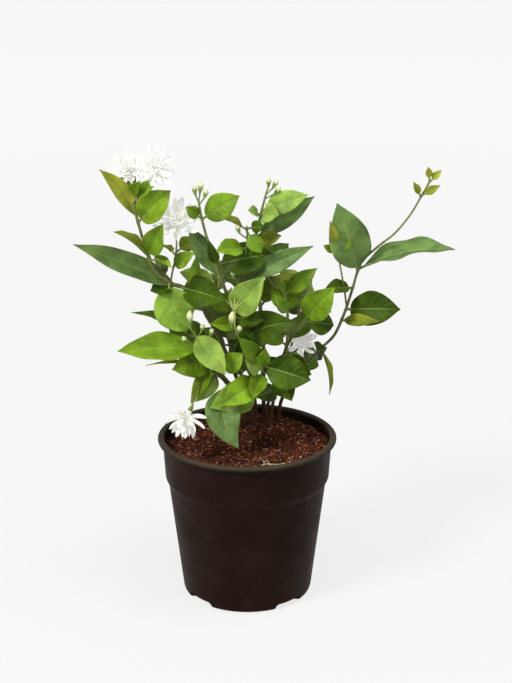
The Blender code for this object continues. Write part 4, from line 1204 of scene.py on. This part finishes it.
def petal_like(name, roughness, ribs, glow):
    """Soft thin tissue with fine lines along it, coloured by the tint. A glow stands in for the
    light that real petals let through."""
    petal = Finish(
        name, roughness, Subsurface_Weight=0.3, Subsurface_Radius=(1.0, 0.95, 0.8),
        Subsurface_Scale=0.002, Specular_IOR_Level=0.3, Emission_Strength=glow,
        Emission_Color=(1.0, 1.0, 0.97, 1))
    inputs = {"Vector": petal.blade(), "Scale": ribs, "Distortion": 1.5, "Detail": 2.0}
    lines = petal.node("TexWave", inputs, bands_direction="Y").outputs["Fac"]
    faint = petal.step(lines, 0.0, 1.0, 0.10, 0.0)
    colour = petal.mix(faint, petal.tint(), (0.72, 0.76, 0.66, 1), "MULTIPLY")
    blush = petal.step(petal.speckle(130.0), 0.45, 0.75, 0.0, 0.12)
    petal.set("Base Color", petal.mix(blush, colour, (0.95, 0.9, 0.8, 1), "MULTIPLY"))
    petal.set("Normal", petal.bump(lines, 0.00012, 0.6))
    return petal.material


def soil_finish():
    """Dark red-brown peat with lighter specks, and darker specks in the hollows of its fine relief that are
    painted shade.
    """
    peat = Finish("peat", 0.95, Specular_IOR_Level=0.1)
    fine = peat.speckle(900.0, 6.0, 0.7)
    broad = peat.step(peat.speckle(70.0, 4.0), 0.35, 0.65)
    colour = peat.mix(broad, (0.021, 0.0052, 0.0026, 1), (0.080, 0.019, 0.0075, 1))
    colour = peat.mix(peat.step(fine, 0.52, 0.72), colour, (0.32, 0.092, 0.038, 1))
    # Darker specks where the fine relief is low: painted shade in its hollows.
    colour = peat.mix(peat.step(fine, 0.42, 0.28), colour, (0.008, 0.004, 0.003, 1))
    peat.set("Base Color", colour)
    relief = peat.maths("ADD", fine, peat.times(peat.speckle(380.0, 4.0), 1.5))
    peat.set("Normal", peat.bump(relief, 0.0011))
    return peat.material


def crumb_finish(name, roughness, depth):
    """Loose lumps coloured by the tint."""
    crumb = Finish(name, roughness, Specular_IOR_Level=0.12)
    fine = crumb.speckle(1500.0, 4.0, 0.7)
    crumb.set("Base Color", crumb.toned_tint(crumb.step(fine, 0.3, 0.7, 0.7, 1.25)))
    crumb.set("Normal", crumb.bump(fine, depth))
    return crumb.material


def pot_finish():
    """Satin black-brown plastic, a little dusty, with faint moulding lines and a painted highlight along the
    top of the lip.
    """
    pot = Finish("pot_plastic", 0.45, Specular_IOR_Level=0.05, Specular_Tint=(1.0, 0.7, 0.55, 1))
    dust = pot.step(pot.speckle(34.0, 5.0, 0.6), 0.35, 0.75)
    colour = pot.mix(dust, (0.0098, 0.0047, 0.0032, 1), (0.0170, 0.0085, 0.0056, 1))
    height = pot.node("SeparateXYZ", {0: pot.place()}).outputs["Z"]
    # Lighter at the top of the lip: a painted highlight.
    lip_highlight = pot.step(height, (RIM_HEIGHT - LIP_HIGHLIGHT) * MM, RIM_HEIGHT * MM)
    colour = pot.mix(lip_highlight, colour, (0.045, 0.036, 0.024, 1))
    specks = pot.times(pot.step(pot.speckle(700.0, 3.0), 0.68, 0.76), 0.2)
    pot.set("Base Color", pot.mix(specks, colour, (0.05, 0.035, 0.028, 1)))
    pot.set("Roughness", pot.step(pot.speckle(60.0, 6.0, 0.65), 0.3, 0.7, 0.46, 0.60))
    grain = pot.bump(pot.speckle(1100.0, 2.0), 0.00003, 0.5)
    lines = pot.streaks((12.0, 12.0, 900.0), 2.0)
    pot.set("Normal", pot.bump(lines, 0.00005, 0.5, grain))
    return pot.material


def floor_finish():
    """A pale floor with a glow of its own, so that it stays even as it goes back."""
    floor = Finish("pale_floor", 0.9, Specular_IOR_Level=0.0, Emission_Color=(1, 1, 1, 1))
    light, dark = (FLOOR_GREY,) * 3 + (1,), (FLOOR_GREY * 0.9,) * 3 + (1,)
    soft = floor.step(floor.speckle(3.0, 2.0), 0.0, 1.0, 0.0, 0.02)
    floor.set("Base Color", floor.mix(soft, light, dark))
    away = floor.node("VectorMath", {0: floor.place()}, operation="LENGTH").outputs["Value"]
    floor.set("Emission Strength", floor.step(away, 0.1, 2.6, *FLOOR_GLOW))
    return floor.material


# The stage, the camera and the light

FLOOR_SIDE = 14.0
FLOOR_GREY = 0.12
FLOOR_GLOW = (0.765, 0.86)  # near the pot and far from it
BUD_GLOW = 0.04
PETAL_GLOW = 0.14
CAMERA_AT = (0.0, -1.06924, 0.54434)
CAMERA_PITCH = -18.246  # degrees
CAMERA_YAW = 0.344
FOCAL_PIXELS = 1578.4
PHOTO_HEIGHT = 683
SENSOR = 36.0  # millimetres
LIGHTS_AIM = (0, 0, 0.2)
WORLD_LIGHT = 0.4


def make_floor():
    mesh = bpy.data.meshes.new("floor")
    half = FLOOR_SIDE / 2
    corners = [(-half, -half, 0), (half, -half, 0), (half, half, 0), (-half, half, 0)]
    mesh.from_pydata(corners, [], [(0, 1, 2, 3)])
    mesh.materials.append(floor_finish())
    floor = linked("floor", mesh)


def make_camera():
    data = bpy.data.cameras.new("camera")
    data.sensor_width = SENSOR
    data.lens = FOCAL_PIXELS * SENSOR / PHOTO_HEIGHT
    camera = linked("camera", data)
    camera.location = CAMERA_AT
    camera.rotation_euler = (math.radians(90 + CAMERA_PITCH), 0, math.radians(-CAMERA_YAW))
    bpy.context.scene.camera = camera


def add_light(name, place, size, watts, colour=(1, 1, 1)):
    data = bpy.data.lights.new(name, "AREA")
    data.size, data.energy, data.color = size, watts, colour
    lamp = linked(name, data)
    lamp.location = place
    lamp.rotation_euler = (Vector(LIGHTS_AIM) - Vector(place)).to_track_quat("-Z", "Y").to_euler()


def make_light():
    add_light("key", (-2.0, -1.8, 2.4), 0.9, 112, (1.0, 0.98, 0.94))
    add_light("fill", (1.8, -2.6, 2.0), 2.0, 28)
    add_light("top", (0.9, -0.4, 3.0), 1.0, 44)
    world = bpy.data.worlds.new("studio")
    world.use_nodes = True
    back = world.node_tree.nodes["Background"]
    back.inputs["Color"].default_value = (1, 1, 1, 1)
    back.inputs["Strength"].default_value = WORLD_LIGHT
    bpy.context.scene.world = world
    view = bpy.context.scene.view_settings
    view.view_transform = "Standard"
    view.look = "None"


def placed(piece, slot, *nodes):
    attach(piece, "root")
    if nodes:
        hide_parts(*nodes)


def main():
    plant_finishes = [leaf_finish(), cane_finish(), petal_like("bud", 0.5, 3.0, BUD_GLOW)]
    petal = petal_like("petal", 0.55, 5.0, PETAL_GLOW)
    for k, name in enumerate(STEMS):
        skin = stem_skin(name, random.Random(SEED + 10 + k))
        placed(skin.made(name + "_foliage", plant_finishes), "foliage", name)
    for k, (name, bloom) in enumerate(BLOOMS.items()):
        skin = bloom_skin(bloom, random.Random(SEED + 40 + k))
        placed(skin.made(name + "_petals", [petal]), "petal", name)
    placed(make_pot(pot_finish()), "pot", "pot")
    placed(make_soil(soil_finish()), "soil", "soil")
    placed(make_perlite(crumb_finish("perlite_grain", 0.8, 0.0004)), "soil")
    loose = crumb_finish("bark_crumb", 0.9, 0.0006)
    placed(make_crumbs(loose), "soil")
    placed(make_fibres(loose), "soil")
    make_floor()
    make_camera()
    make_light()


main()
